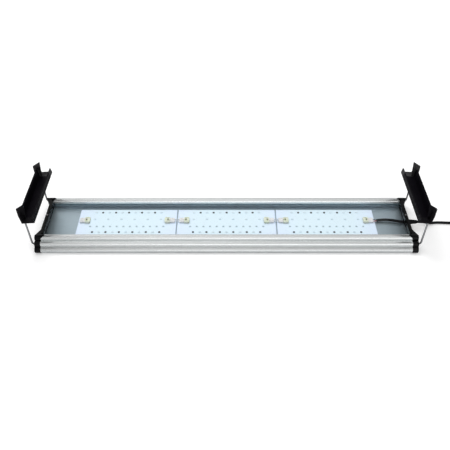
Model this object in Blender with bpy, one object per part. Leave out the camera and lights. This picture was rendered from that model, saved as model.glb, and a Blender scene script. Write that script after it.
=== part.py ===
"""Aquarium LED light, lying on its back with the lamp side up and its two tank feet standing.

Millimetres in the named sizes below, metres in the scene. X runs along the light, +Z is up,
and the origin is on the surface under the middle of the light.
"""
import math

import bmesh
import bpy
from mathutils import Vector

MM = 0.001
GAP = 0.3                      # clearance between neighbouring solids

# Aluminium housing, one extrusion along X
HOUSING_LENGTH = 670.4
HOUSING_HEIGHT = 27.5
LOBE_RADIUS = 6.0
LOBES = (                      # centres (y, z) of the three rounds of a side rail
    (49.3, HOUSING_HEIGHT - LOBE_RADIUS), (58.0, 14.0), (64.0, LOBE_RADIUS),
)
RAIL_BASE = 0.3                # height of the flat under each rail
TRAY_HALF = 42.0               # half width of the tray that holds the boards
TRAY_FLOOR = 9.4
PLATE_UNDER = 6.6              # underside of the tray plate, from which the fins hang
RAIL_FOOT_HALF = 43.5          # inner edge of the flat under a rail
SLOT_HALF = 46.6               # depth of the cover slots, from the middle
SLOT_FLOOR = 16.2
SLOT_ROOF = 18.6
FIN_PAIRS = 5
FIN_PITCH = 8.0
FIN_WIDTH = 1.4
FIN_TIP = 1.0
ARC_STEP = math.radians(20)

# End caps
CAP_THICKNESS = 10.5           # along X, at the rails
CAP_WEB = 2.9                  # along X, between the rails
CAP_PROUD = 0.3                # the cap stands out round the housing by this much
CAP_TOP = HOUSING_HEIGHT - 0.3
TONGUE = 3.5                   # part of the cap that reaches over the end of the cover
RECESS_HALF = 34.5             # half width of the thin middle of the cap
RECESS_MOUTH_HALF = 50.6

# Fasteners
SCREW_RADIUS = 1.3
SCREW_HEAD_RADIUS = 2.7
SCREW_HEAD_HEIGHT = 1.8
CAP_SCREW_REACH = 14.0         # how far a cap screw enters the housing
TOP_SCREW_Y = 4.0
TOP_SCREW_RADIUS = 0.9
TOP_SCREW_HEAD_RADIUS = 1.7

# Cover and boards
COVER_THICKNESS = 1.8
BOARD_COUNT = 3
BOARD_LENGTH = 184.5
BOARD_WIDTH = 70.0
BOARD_THICKNESS = 1.6
BOARD_SPACE = 2.5              # between two boards
LED_SIZE = (3.5, 2.8, 0.9)
RESISTOR_SIZE = (3.6, 3.2, 0.8)
SOLDER = 0.2
PITCH = 24.9                   # along a row
ROW_FAR = 26.9
ROW_UPPER = 8.7
ROW_LOWER = -10.5
ROW_NEAR = -25.5

# Plug and socket strip on the boards
SOCKET_SIZE = (9.4, 13.0, 4.4)
PLUG_SIZE = (9.0, 11.0, 3.7)
PLUG_INSET = 3.2               # from a board's end to the plug
SOCKET_Y = 4.0
CORE_RADIUS = 0.7
CORE_SPREAD = 2.5              # half the distance between two cores
LEAD_RADIUS = 2.4

# Sliding wire brackets
ROD_RADIUS = 1.6
ROD_INSIDE = 120.0             # length of rod inside the light when pushed in
BEND_RADIUS = 4.5
CROSSBAR_HEIGHT = 72.4         # above the surface that the light lies on
ARC_POINTS = 5

# Feet: channels that sit over the tank's rim, drawn as (outward, up) from the crossbar's centre
FOOT_LENGTH = 138.0
FOOT_TILT = math.radians(4)
WEB_UNDER = 3.2
WEB_THICKNESS = 2.6
FOOT_INNER = 21.5              # from the crossbar in to the inner wall's face
INNER_WALL_BASE = 3.8
INNER_WALL_TIP = 2.3
INNER_WALL_HEIGHT = 10.0
INNER_WALL_LEAN = 1.0
FOOT_OUTER = 1.1
OUTER_WALL_THICKNESS = 2.8
OUTER_WALL_HEIGHT = 19.2
OUTER_WALL_LEAN = 0.8
EAR_POSITION = 58.0            # middle of each ear, from the middle of the foot
EAR_THICKNESS = 3.0
EAR_HEIGHT = 33.8              # inner corner, above the underside of the web
EAR_DROP = 8.6                 # its top falls outward by this much
EAR_SEAT = 4.8                 # its inner edge on the web, in from the crossbar
EAR_INNER_LEAN = 4.3
EAR_ROOT = 2.0                 # the inner edge rises straight off the web by this much, then leans
EAR_OUTER = 6.0
EAR_BELLY = 7.4
EAR_BELLY_HEIGHT = 8.2
CLIP_POSITION = 30.0
CLIP_LENGTH = 14.0
CLIP_RADIUS = 3.9
CLIP_MOUTH = math.radians(35)  # half angle of the snap opening

# Lead, along the floor from the right end cap
CORD_RADIUS = 2.5
GLAND_Z = 13.4
GLAND_RADIUS = 3.4
GLAND_FLANGE_RADIUS = 5.0
GLAND_FLANGE = 1.6
GLAND_REACH = 12.0             # how far the gland's tail stands out of the cap
FLOOR_GAP = 0.05
CORD_ROUTE = (                 # (out from the gland's end, across, height: 1 at the gland, 0 on the floor)
    (6.0, 0.0, 1.0), (14.0, 0.8, 0.83), (22.0, 3.6, 0.43), (30.0, 6.9, 0.10), (38.0, 8.8, 0.0),
    (48.0, 9.2, 0.0), (60.0, 8.6, 0.0), (72.0, 7.9, 0.03), (84.0, 7.5, 0.08),
)
CORD_STEP = 10.0               # between two rings of a free stretch
COIL_OUT = 106.0               # from the gland's end to the coil's middle
COIL_ACROSS = -29.0
COIL_RADIUS = 36.5
COIL_TURNS = 6
COIL_SPACE = 0.6               # between neighbouring turns
COIL_LAYER_SPACE = 0.5
COIL_POINTS = 24               # per turn
TAIL_DROP = 18.0               # length over which the tail comes down to the floor
TAIL_STRAIGHT = 5.0
TIE_THICKNESS = 0.7
TIE_WIDTH = 6.0
TIE_ROOM = 0.4
DC_BODY_RADIUS = 5.4
DC_BODY_LENGTH = 18.0
DC_NECK_LENGTH = 10.0
DC_BARREL_RADIUS = 2.75
DC_BARREL_BORE = 1.3
DC_BARREL_LENGTH = 9.5

# Worked out from the sizes above
HOUSING_END = HOUSING_LENGTH / 2
CAP_INNER = HOUSING_END + GAP
CAP_OUTER = CAP_INNER + CAP_THICKNESS
CAP_WEB_FACE = CAP_INNER + CAP_WEB
ROD_Y, ROD_Z = LOBES[1]
ROD_HOLE_RADIUS = ROD_RADIUS + GAP + 0.1
SCREW_HOLE_RADIUS = SCREW_RADIUS + GAP + 0.1
CAP_SCREWS = (LOBES[0], LOBES[2])
CROSSBAR_X = CAP_OUTER + BEND_RADIUS
COVER_HALF = SLOT_HALF - GAP - 0.1
COVER_BASE = SLOT_FLOOR + GAP
BOARD_BASE = TRAY_FLOOR + GAP
BOARD_TOP = BOARD_BASE + BOARD_THICKNESS
BOARD_PITCH = BOARD_LENGTH + BOARD_SPACE
GLAND_END = CAP_OUTER + GLAND_REACH
COIL_X = GLAND_END + COIL_OUT
COIL_Z = TIE_THICKNESS + TIE_ROOM + CORD_RADIUS
COIL_PITCH = 2 * CORD_RADIUS + COIL_SPACE
COIL_LAYER = 2 * CORD_RADIUS + COIL_LAYER_SPACE
COIL_END_Y = COIL_ACROSS + COIL_RADIUS
COIL_LEAD_IN = 2 * CORD_RADIUS


def clear_scene():
    for item in list(bpy.data.objects):
        bpy.data.objects.remove(item, do_unlink=True)


def material(name, colour, roughness, metallic=0.0, alpha=1.0):
    made = bpy.data.materials.new(name)
    made.use_nodes = True
    shader = made.node_tree.nodes["Principled BSDF"]
    shader.inputs["Base Color"].default_value = (*colour, 1.0)
    shader.inputs["Roughness"].default_value = roughness
    shader.inputs["Metallic"].default_value = metallic
    shader.inputs["Alpha"].default_value = alpha
    return made


# Outlines

def arc(centre, radius, start, stop, step=ARC_STEP):
    count = max(2, math.ceil(abs(stop - start) / step))
    angles = [start + (stop - start) * i / count for i in range(count + 1)]
    return [(centre[0] + radius * math.cos(a), centre[1] + radius * math.sin(a)) for a in angles]


def circle(centre, radius, sides=12):
    return arc(centre, radius, 0, 2 * math.pi * (sides - 1) / sides, 2 * math.pi / sides)


def mirrored(half):
    """Closed outline from its right half, which starts at the top and ends at the bottom."""
    return half + [(-y, z) for y, z in reversed(half)]


def lobe_chain(radius, start, base):
    """Round the outside of the three lobes, from angle start on the top one down to height base."""
    points = []
    for (y, z), following in zip(LOBES, LOBES[1:] + (None,)):
        if following:
            towards = math.atan2(following[1] - z, following[0] - y)
            meet = math.acos(min(1.0, math.dist((y, z), following) / 2 / radius))
            stop = towards + meet
        else:
            stop = math.asin((base - z) / radius)
        run = arc((y, z), radius, start, stop)
        points += run[1:] if points else run
        if following:
            start = towards + math.pi - meet
    return points


def housing_outline():
    y, z = LOBES[0]
    half = [(TRAY_HALF, TRAY_FLOOR), (TRAY_HALF, SLOT_FLOOR), (SLOT_HALF, SLOT_FLOOR), (SLOT_HALF, SLOT_ROOF)]
    half += lobe_chain(LOBE_RADIUS, math.pi - math.asin((SLOT_ROOF - z) / LOBE_RADIUS), RAIL_BASE)
    half += [(RAIL_FOOT_HALF, RAIL_BASE), (RAIL_FOOT_HALF, PLATE_UNDER)]
    for number in reversed(range(FIN_PAIRS)):
        middle = FIN_PITCH * (number + 0.5)
        outer, inner = middle + FIN_WIDTH / 2, middle - FIN_WIDTH / 2
        half += [(outer, PLATE_UNDER), (outer, FIN_TIP), (inner, FIN_TIP), (inner, PLATE_UNDER)]
    return mirrored(half)


def chamber_outline(side):
    """Lengthwise hollow in a rail, clear of the tray wall, the rod's bore and the screw ports."""
    wall = 2.2
    inner, outer = RAIL_FOOT_HALF + 1.0, LOBES[2][0] - LOBE_RADIUS
    low, high = RAIL_BASE + wall, SLOT_FLOOR - wall
    shoulder = ROD_Y - ROD_HOLE_RADIUS - wall
    corner = ROD_Z - ROD_HOLE_RADIUS - wall
    points = [(inner, low), (outer, low), (outer, corner - 1.0), (shoulder, corner), (shoulder, high), (inner, high)]
    return [(side * y, z) for y, z in points]


def cap_outline():
    z = LOBES[0][1]
    radius = LOBE_RADIUS + CAP_PROUD
    return mirrored(lobe_chain(radius, math.pi - math.asin((CAP_TOP - z) / radius), 0.0))


# Solids, each added to a bmesh in millimetres

AXES = {"X": (0, 1, 2), "Y": (1, 0, 2), "Z": (2, 0, 1)}


def prism(mesh, outline, axis, low, high):
    """Outline in the two directions that are left, run along axis from low to high."""
    along, first, second = AXES[axis]
    ring = []
    for a, b in outline:
        point = [0.0, 0.0, 0.0]
        point[along], point[first], point[second] = low, a, b
        ring.append(mesh.verts.new(point))
    face = mesh.faces.new(ring)
    moved = bmesh.ops.extrude_face_region(mesh, geom=[face], use_keep_orig=True)
    shift = [0.0, 0.0, 0.0]
    shift[along] = high - low
    lifted = [item for item in moved["geom"] if isinstance(item, bmesh.types.BMVert)]
    bmesh.ops.translate(mesh, vec=shift, verts=lifted)


def block(mesh, centre, size):
    x, y, z = centre
    length, width, height = size
    outline = [(x - length / 2, y - width / 2), (x + length / 2, y - width / 2),
               (x + length / 2, y + width / 2), (x - length / 2, y + width / 2)]
    prism(mesh, outline, "Z", z, z + height)


def turned(mesh, profile, axis, centre, sides=12):
    """Closed turned solid: profile holds (place along axis, radius), centre the axis's own place."""
    along, first, second = AXES[axis]
    rings = []
    for place, radius in profile:
        ring = []
        for a, b in circle(centre, radius, sides):
            point = [0.0, 0.0, 0.0]
            point[along], point[first], point[second] = place, a, b
            ring.append(mesh.verts.new(point))
        rings.append(ring)
    for near, far in zip(rings, rings[1:]):
        for i in range(sides):
            j = (i + 1) % sides
            mesh.faces.new((near[i], near[j], far[j], far[i]))
    mesh.faces.new(rings[0])
    mesh.faces.new(rings[-1])


def make_object(name, mesh, finish, at=(0, 0, 0), smooth=True):
    """Object from a bmesh in millimetres whose coordinates are measured from at."""
    bmesh.ops.recalc_face_normals(mesh, faces=mesh.faces)
    bmesh.ops.scale(mesh, vec=(MM, MM, MM), verts=mesh.verts)
    data = bpy.data.meshes.new(name)
    mesh.to_mesh(data)
    mesh.free()
    if smooth:
        data.shade_smooth()
        data.set_sharp_from_angle(angle=math.radians(35))
    data.materials.append(finish)
    made = bpy.data.objects.new(name, data)
    made.location = Vector(at) * MM
    bpy.context.scene.collection.objects.link(made)
    return made


def shaped(target, name, mesh, operation):
    """Boolean of target with a hidden helper made from the bmesh."""
    helper = make_object(name, mesh, target.data.materials[0], smooth=False)
    helper.location = target.location
    helper.rotation_euler = target.rotation_euler
    helper.hide_render = True
    helper.display_type = "WIRE"
    step = target.modifiers.new(name, "BOOLEAN")
    step.operation = operation
    step.solver = "EXACT"
    step.object = helper


def tube(name, points, radius, finish, resolution=2, at=(0, 0, 0)):
    """Round bar or cord along points, with closed ends."""
    curve = bpy.data.curves.new(name, "CURVE")
    curve.dimensions = "3D"
    curve.bevel_depth = radius * MM
    curve.bevel_resolution = resolution
    curve.use_fill_caps = True
    spline = curve.splines.new("POLY")
    spline.points.add(len(points) - 1)
    for target, point in zip(spline.points, points):
        target.co = (*(Vector(point) * MM), 1.0)
    curve.materials.append(finish)
    made = bpy.data.objects.new(name, curve)
    made.location = Vector(at) * MM
    bpy.context.scene.collection.objects.link(made)
    return made


def smooth_route(route, step):
    """Points about step apart on one smooth curve through the route's own points."""
    knots = [Vector(point) for point in route]
    knots = [2 * knots[0] - knots[1]] + knots + [2 * knots[-1] - knots[-2]]
    points = []
    for before, start, stop, after in zip(knots, knots[1:], knots[2:], knots[3:]):
        count = max(1, round((stop - start).length / step))
        for i in range(count):
            t = i / count
            a = 2 * start
            b = (stop - before) * t
            c = (2 * before - 5 * start + 4 * stop - after) * t ** 2
            d = (3 * start - before - 3 * stop + after) * t ** 3
            points.append((a + b + c + d) / 2)
    points.append(knots[-2])
    return points


# Pieces

def build_housing(finish):
    mesh = bmesh.new()
    prism(mesh, housing_outline(), "X", -HOUSING_END, HOUSING_END)
    housing = make_object("housing", mesh, finish)
    cuts = bmesh.new()
    reach = HOUSING_END + 5
    for side in (-1, 1):
        prism(cuts, circle((side * ROD_Y, ROD_Z), ROD_HOLE_RADIUS), "X", -reach, reach)
        prism(cuts, chamber_outline(side), "X", -reach, reach)
        for y, z in CAP_SCREWS:
            prism(cuts, circle((side * y, z), SCREW_HOLE_RADIUS), "X", -reach, reach)
    shaped(housing, "housing_cuts", cuts, "DIFFERENCE")


def build_cap(name, side, finish):
    mesh = bmesh.new()
    inner, outer = sorted((side * CAP_INNER, side * CAP_OUTER))
    prism(mesh, cap_outline(), "X", inner, outer)
    cap = make_object(name, mesh, finish)
    tongue = bmesh.new()
    overlap = 1.0
    y, z = LOBES[0]
    middle = side * (CAP_INNER - (TONGUE - overlap) / 2)
    low = COVER_BASE + COVER_THICKNESS + GAP
    width = 2 * (y - LOBE_RADIUS - GAP)
    block(tongue, (middle, 0, low), (TONGUE + overlap, width, CAP_TOP - low))
    shaped(cap, name + "_tongue", tongue, "UNION")
    cuts = bmesh.new()
    far = CAP_OUTER + 10
    recess = [(CAP_WEB_FACE, -RECESS_HALF), (CAP_OUTER + 1, -RECESS_MOUTH_HALF), (far, -RECESS_MOUTH_HALF),
              (far, RECESS_MOUTH_HALF), (CAP_OUTER + 1, RECESS_MOUTH_HALF), (CAP_WEB_FACE, RECESS_HALF)]
    prism(cuts, [(side * x, y) for x, y in recess], "Z", -5, CAP_TOP + 5)
    shaped(cap, name + "_recess", cuts, "DIFFERENCE")
    openings = bmesh.new()
    near, through = CAP_INNER - 1, CAP_OUTER + 1
    for across in (-1, 1):
        prism(openings, circle((across * ROD_Y, ROD_Z), ROD_HOLE_RADIUS), "X", side * near, side * through)
        for y, z in CAP_SCREWS:
            seat = CAP_OUTER - SCREW_HEAD_HEIGHT - GAP
            sink = [(side * near, SCREW_HOLE_RADIUS), (side * seat, SCREW_HOLE_RADIUS),
                    (side * seat, SCREW_HEAD_RADIUS + GAP), (side * through, SCREW_HEAD_RADIUS + GAP)]
            turned(openings, sink, "X", (across * y, z))
    prism(openings, circle((0, GLAND_Z), GLAND_RADIUS + GAP + 0.1, 16), "X", side * near, side * (CAP_WEB_FACE + 1))
    x = side * (CAP_INNER - 0.4)
    prism(openings, circle((x, TOP_SCREW_Y), TOP_SCREW_RADIUS + GAP), "Z", CAP_TOP - 5, CAP_TOP + 1)
    shaped(cap, name + "_openings", openings, "DIFFERENCE")


def build_cap_screws(name, side, finish):
    seat = CAP_OUTER - SCREW_HEAD_HEIGHT
    tip = HOUSING_END - CAP_SCREW_REACH
    profile = [(side * tip, SCREW_RADIUS), (side * seat, SCREW_RADIUS),
               (side * seat, SCREW_HEAD_RADIUS), (side * CAP_OUTER, SCREW_HEAD_RADIUS)]
    places = [(across * y, z) for across in (-1, 1) for y, z in CAP_SCREWS]
    for number, place in enumerate(places, 1):
        mesh = bmesh.new()
        turned(mesh, profile, "X", place, 10)
        make_object(f"{name}_{number}", mesh, finish)


def build_top_screw(name, side, finish):
    head = CAP_TOP + GAP
    profile = [(CAP_TOP - 4.5, TOP_SCREW_RADIUS), (head, TOP_SCREW_RADIUS),
               (head, TOP_SCREW_HEAD_RADIUS), (head + 0.9, TOP_SCREW_HEAD_RADIUS)]
    mesh = bmesh.new()
    turned(mesh, profile, "Z", (side * (CAP_INNER - 0.4), TOP_SCREW_Y), 10)
    make_object(name, mesh, finish)


def build_cover(finish):
    mesh = bmesh.new()
    length = HOUSING_LENGTH - 2 * GAP
    block(mesh, (0, 0, COVER_BASE), (length, 2 * COVER_HALF, COVER_THICKNESS))
    make_object("cover", mesh, finish, smooth=False)


def board_middles():
    return [BOARD_PITCH * (i - (BOARD_COUNT - 1) / 2) for i in range(BOARD_COUNT)]


def row(middle, count, pitch, y):
    """Places along a row of count pieces, centred on middle."""
    return [(middle + pitch * (i - (count - 1) / 2), y) for i in range(count)]


def led_places(middle):
    return (row(middle, 6, PITCH, ROW_FAR) + row(middle, 6, PITCH, ROW_UPPER)
            + row(middle, 12, PITCH / 2, ROW_LOWER) + row(middle, 5, PITCH, ROW_NEAR))


def resistor_places(middle):
    return row(middle, 5, PITCH, ROW_FAR) + row(middle, 6, PITCH, ROW_NEAR)


def socket_middle(middle, end):
    inset = PLUG_INSET + PLUG_SIZE[0] + GAP + SOCKET_SIZE[0] / 2
    return middle + end * (BOARD_LENGTH / 2 - inset)


def plug_middle(middle, end):
    return middle + end * (BOARD_LENGTH / 2 - PLUG_INSET - PLUG_SIZE[0] / 2)


def build_board(number, middle, finishes):
    """Bare board with its soldered lamps and resistors, and the two sockets at its ends."""
    mesh = bmesh.new()
    block(mesh, (middle, 0, BOARD_BASE), (BOARD_LENGTH, BOARD_WIDTH, BOARD_THICKNESS))
    board = make_object(f"board_{number}", mesh, finishes["board"], smooth=False)
    soldered = bmesh.new()
    for places, size in ((led_places(middle), LED_SIZE), (resistor_places(middle), RESISTOR_SIZE)):
        length, width, height = size
        for x, y in places:
            block(soldered, (x, y, BOARD_TOP - SOLDER), (length, width, height + 2 * SOLDER))
    shaped(board, f"board_{number}_soldered", soldered, "UNION")
    for name, end in (("left", -1), ("right", 1)):
        socket = bmesh.new()
        block(socket, (socket_middle(middle, end), SOCKET_Y, BOARD_TOP + SOLDER), SOCKET_SIZE)
        make_object(f"board_{number}_{name}_socket", socket, finishes["connector"], smooth=False)


def plug_z():
    return BOARD_TOP + SOLDER + (SOCKET_SIZE[2] - PLUG_SIZE[2]) / 2


def core_z():
    return plug_z() + PLUG_SIZE[2] / 2


def build_plugs(finishes):
    """A plug in every socket; the last board's right one takes the supply."""
    for number, middle in enumerate(board_middles(), 1):
        for name, end in (("left", -1), ("right", 1)):
            mesh = bmesh.new()
            block(mesh, (plug_middle(middle, end), SOCKET_Y, plug_z()), PLUG_SIZE)
            make_object(f"board_{number}_{name}_plug", mesh, finishes["connector"], smooth=False)


def build_jumper_leads(finishes):
    """Two insulated cores across each gap between boards, humped a little."""
    middles = board_middles()
    half = (BOARD_SPACE / 2 + PLUG_INSET) - GAP
    for number, (left, right) in enumerate(zip(middles, middles[1:]), 1):
        joint = (left + right) / 2
        for name, across in (("near", -1), ("far", 1)):
            run = []
            for i in range(7):
                t = i / 3 - 1
                hump = 0.5 * math.cos(math.pi * t / 2) ** 2
                run.append((joint + half * t, SOCKET_Y + across * CORE_SPREAD, core_z() + hump))
            tube(f"jumper_{number}_{name}_core", run, CORE_RADIUS, finishes["connector"])


def build_inner_lead(finishes):
    """Sheathed lead from the gland to near the last board, then its two cores to the plug."""
    start = CAP_INNER - 2.0 - GAP
    end = BOARD_PITCH * (BOARD_COUNT - 1) / 2 + BOARD_LENGTH / 2 + 3.75
    under_cover = COVER_BASE - LEAD_RADIUS - 0.5
    route = [(start, 0.0, GLAND_Z), (start - 3, 0.0, GLAND_Z), (start - 15, 2.6, under_cover),
             (start - 29, 5.0, under_cover), (end + 6, 4.8, under_cover - 0.3), (end, SOCKET_Y, under_cover - 0.6)]
    tube("inner_lead", smooth_route(route, 6.0), LEAD_RADIUS, finishes["cord"])
    plug_end = plug_middle(board_middles()[-1], 1) + PLUG_SIZE[0] / 2 + GAP
    for name, across in (("near", -1), ("far", 1)):
        core = [(end - 2 * GAP, SOCKET_Y + across * 1.0, under_cover - 0.6),
                (end - 3, SOCKET_Y + across * 1.6, under_cover - 0.3),
                (plug_end + 2, SOCKET_Y + across * CORE_SPREAD, core_z()),
                (plug_end, SOCKET_Y + across * CORE_SPREAD, core_z())]
        tube(f"inner_lead_{name}_core", smooth_route(core, 2.5), CORE_RADIUS, finishes[name + "_core"])


def build_gland(finish):
    """Strain relief of the supply lead, through the thin middle of the right cap."""
    face = CAP_WEB_FACE + GAP
    sleeve = face + GLAND_FLANGE
    bore = GLAND_RADIUS
    profile = [(CAP_INNER - 2.0, bore - 0.7), (CAP_INNER - GAP, bore - 0.7), (CAP_INNER - GAP, bore), (face, bore),
               (face, GLAND_FLANGE_RADIUS), (sleeve, GLAND_FLANGE_RADIUS), (sleeve, bore + 0.9),
               (GLAND_END, CORD_RADIUS + 0.6)]
    mesh = bmesh.new()
    turned(mesh, profile, "X", (0, GLAND_Z), 16)
    make_object("cord_gland", mesh, finish)


def build_blanking_plug(finish):
    """Closes the unused lead hole of the left cap."""
    face = CAP_WEB_FACE + GAP
    profile = [(-CAP_INNER + GAP, GLAND_RADIUS), (-face, GLAND_RADIUS), (-face, GLAND_FLANGE_RADIUS),
               (-face - 1.0, GLAND_FLANGE_RADIUS), (-face - 1.6, GLAND_FLANGE_RADIUS - 1.0)]
    mesh = bmesh.new()
    turned(mesh, profile, "X", (0, GLAND_Z), 16)
    make_object("blanking_plug", mesh, finish)


def quarter(centre, first, second):
    """Quarter turn round centre from the offset first to the offset second."""
    centre, first, second = Vector(centre), Vector(first), Vector(second)
    steps = [math.pi / 2 * i / ARC_POINTS for i in range(ARC_POINTS + 1)]
    return [centre + first * math.cos(a) + second * math.sin(a) for a in steps]


def build_bracket(name, side, finish):
    """One bent wire: two rods that slide in the rails, two legs and the crossbar of the foot."""
    bend = BEND_RADIUS
    top = CROSSBAR_HEIGHT - ROD_Z
    half = [Vector((-side * ROD_INSIDE, -ROD_Y, 0))]
    half += quarter((0, -ROD_Y, bend), (0, 0, -bend), (side * bend, 0, 0))
    half += quarter((side * bend, -ROD_Y + bend, top - bend), (0, -bend, 0), (0, 0, bend))
    points = half + [Vector((p.x, -p.y, p.z)) for p in reversed(half)]
    tube(name, points, ROD_RADIUS, finish, 3, at=(side * CAP_OUTER, 0, ROD_Z))


def foot_outline(side):
    floor = WEB_UNDER + WEB_THICKNESS
    wall_top = WEB_UNDER + OUTER_WALL_HEIGHT
    inner_face = FOOT_OUTER - OUTER_WALL_THICKNESS
    tip = WEB_UNDER + INNER_WALL_HEIGHT
    points = [(-FOOT_INNER, WEB_UNDER), (FOOT_OUTER, WEB_UNDER), (FOOT_OUTER + OUTER_WALL_LEAN, wall_top),
              (inner_face + OUTER_WALL_LEAN, wall_top), (inner_face, floor),
              (-FOOT_INNER + INNER_WALL_BASE, floor), (-FOOT_INNER + INNER_WALL_LEAN + INNER_WALL_TIP, tip),
              (-FOOT_INNER + INNER_WALL_LEAN, tip)]
    return [(side * u, w) for u, w in points]


def ear_outline(side):
    root = WEB_UNDER + WEB_THICKNESS / 2
    straight = WEB_UNDER + WEB_THICKNESS + EAR_ROOT
    top = WEB_UNDER + EAR_HEIGHT
    points = [(-EAR_SEAT, root), (-EAR_SEAT, straight), (-EAR_SEAT - EAR_INNER_LEAN, top), (EAR_OUTER, top - EAR_DROP),
              (EAR_BELLY, WEB_UNDER + EAR_BELLY_HEIGHT), (FOOT_OUTER - 0.1, root)]
    return [(side * u, w) for u, w in points]


def clip_outline():
    """Open ring that snaps on the crossbar, its mouth turned down."""
    start, stop = -math.pi / 2 + CLIP_MOUTH, 3 * math.pi / 2 - CLIP_MOUTH
    bore = ROD_RADIUS + GAP + 0.1
    outer = arc((0, 0), CLIP_RADIUS, start, stop)
    return outer + arc((0, 0), bore, stop, start)


def build_foot(name, side, finish):
    mesh = bmesh.new()
    prism(mesh, foot_outline(side), "Y", -FOOT_LENGTH / 2, FOOT_LENGTH / 2)
    foot = make_object(name, mesh, finish, at=(side * CROSSBAR_X, 0, CROSSBAR_HEIGHT))
    foot.rotation_euler = (0, side * FOOT_TILT, 0)
    extras = bmesh.new()
    for across in (-1, 1):
        middle = across * EAR_POSITION
        prism(extras, ear_outline(side), "Y", middle - EAR_THICKNESS / 2, middle + EAR_THICKNESS / 2)
        middle = across * CLIP_POSITION
        prism(extras, clip_outline(), "Y", middle - CLIP_LENGTH / 2, middle + CLIP_LENGTH / 2)
    shaped(foot, name + "_extras", extras, "UNION")


def cord_route():
    """From the gland's mouth down to the floor and along it to the start of the coil."""
    floor = CORD_RADIUS + FLOOR_GAP
    points = [(GLAND_END + GAP, 0.0, GLAND_Z)]
    points += [(GLAND_END + x, y, floor + h * (GLAND_Z - floor)) for x, y, h in CORD_ROUTE]
    end = COIL_X - COIL_LEAD_IN - GAP
    points += [(end - 7, COIL_END_Y, COIL_Z), (end, COIL_END_Y, COIL_Z)]
    return points


def tail_route():
    """From the end of the coil down to the plug on the floor beside it."""
    x = COIL_X + COIL_LEAD_IN + GAP
    high, low = COIL_Z + COIL_LAYER, DC_BODY_RADIUS + 2 * FLOOR_GAP
    end = x + TAIL_STRAIGHT + TAIL_DROP
    return [(x, COIL_END_Y, high), (x + TAIL_STRAIGHT, COIL_END_Y, high),
            ((x + end) / 2, COIL_END_Y, (high + low) / 2),
            (end - TAIL_STRAIGHT, COIL_END_Y, low), (end, COIL_END_Y, low)]


def coil_points():
    """Two layers: the turns spiral in, climb in the half turn where they reverse, and spiral out."""
    middle = COIL_TURNS / 2
    points = [Vector((COIL_X - COIL_LEAD_IN, COIL_END_Y, COIL_Z))]
    for i in range(COIL_TURNS * COIL_POINTS + 1):
        turn = i / COIL_POINTS
        radius = COIL_RADIUS - COIL_PITCH * (middle - abs(turn - middle))
        climb = min(1.0, max(0.0, 2 * (turn - middle) + 0.5))
        height = COIL_Z + COIL_LAYER * (3 * climb ** 2 - 2 * climb ** 3)
        angle = math.pi / 2 - 2 * math.pi * turn
        points.append(Vector((COIL_X + radius * math.cos(angle), COIL_ACROSS + radius * math.sin(angle), height)))
    points.append(Vector((COIL_X + COIL_LEAD_IN, COIL_END_Y, COIL_Z + COIL_LAYER)))
    return points


def least_self_gap(points, radius):
    """Smallest gap between parts of one tube that are at least half a turn apart along it."""
    apart = COIL_POINTS // 2
    finer = [a.lerp(b, i / 3) for a, b in zip(points, points[1:]) for i in range(3)] + [points[-1]]
    pairs = ((p - q).length for i, p in enumerate(finer) for q in finer[i + 3 * apart:])
    return min(pairs) - 2 * radius


def build_cord(finishes):
    tube("cord_run", smooth_route(cord_route(), CORD_STEP), CORD_RADIUS, finishes["cord"])
    points = coil_points()
    tube("cord_coil", points, CORD_RADIUS, finishes["cord"], 1)
    print("coil: least gap to itself %.2f mm" % least_self_gap(points, CORD_RADIUS))
    tube("cord_tail", smooth_route(tail_route(), 6.0), CORD_RADIUS, finishes["cord"])


def build_tie(finish):
    """Band round all the turns where they run along X."""
    x, y = COIL_X, COIL_ACROSS
    room = CORD_RADIUS + TIE_ROOM
    innermost = COIL_RADIUS - COIL_PITCH * (COIL_TURNS / 2 - 0.5)
    outermost = COIL_RADIUS - COIL_PITCH * 0.5
    low = (y - outermost - room, COIL_Z - room)
    bulge = (TIE_WIDTH / 2) ** 2 / innermost
    high = (y - innermost + room + bulge, COIL_Z + COIL_LAYER + room)
    wall = TIE_THICKNESS
    mesh = bmesh.new()
    outer = [(low[0] - wall, low[1] - wall), (high[0] + wall, low[1] - wall),
             (high[0] + wall, high[1] + wall), (low[0] - wall, high[1] + wall)]
    prism(mesh, outer, "X", x - TIE_WIDTH / 2, x + TIE_WIDTH / 2)
    tie = make_object("cord_tie", mesh, finish, smooth=False)
    hole = bmesh.new()
    prism(hole, [low, (high[0], low[1]), high, (low[0], high[1])], "X", x - TIE_WIDTH, x + TIE_WIDTH)
    shaped(tie, "cord_tie_hole", hole, "DIFFERENCE")


def build_dc_plug(finishes):
    x, y, z = tail_route()[-1]
    start = x + GAP
    body = start + DC_NECK_LENGTH
    front = body + DC_BODY_LENGTH
    radius = DC_BODY_RADIUS
    profile = [(start, CORD_RADIUS + 0.5), (body - 1.5, radius - 1.4), (body, radius),
               (front - 1.5, radius), (front, radius - 1.0)]
    mesh = bmesh.new()
    turned(mesh, profile, "X", (y, z), 16)
    make_object("dc_plug_body", mesh, finishes["moulded"])
    sleeve = front + GAP
    mesh = bmesh.new()
    prism(mesh, circle((y, z), DC_BARREL_RADIUS, 16), "X", sleeve, sleeve + DC_BARREL_LENGTH)
    barrel = make_object("dc_plug_barrel", mesh, finishes["nickel"])
    bore = bmesh.new()
    prism(bore, circle((y, z), DC_BARREL_BORE), "X", sleeve + 1.5, sleeve + DC_BARREL_LENGTH + 1)
    shaped(barrel, "dc_plug_bore", bore, "DIFFERENCE")


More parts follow.
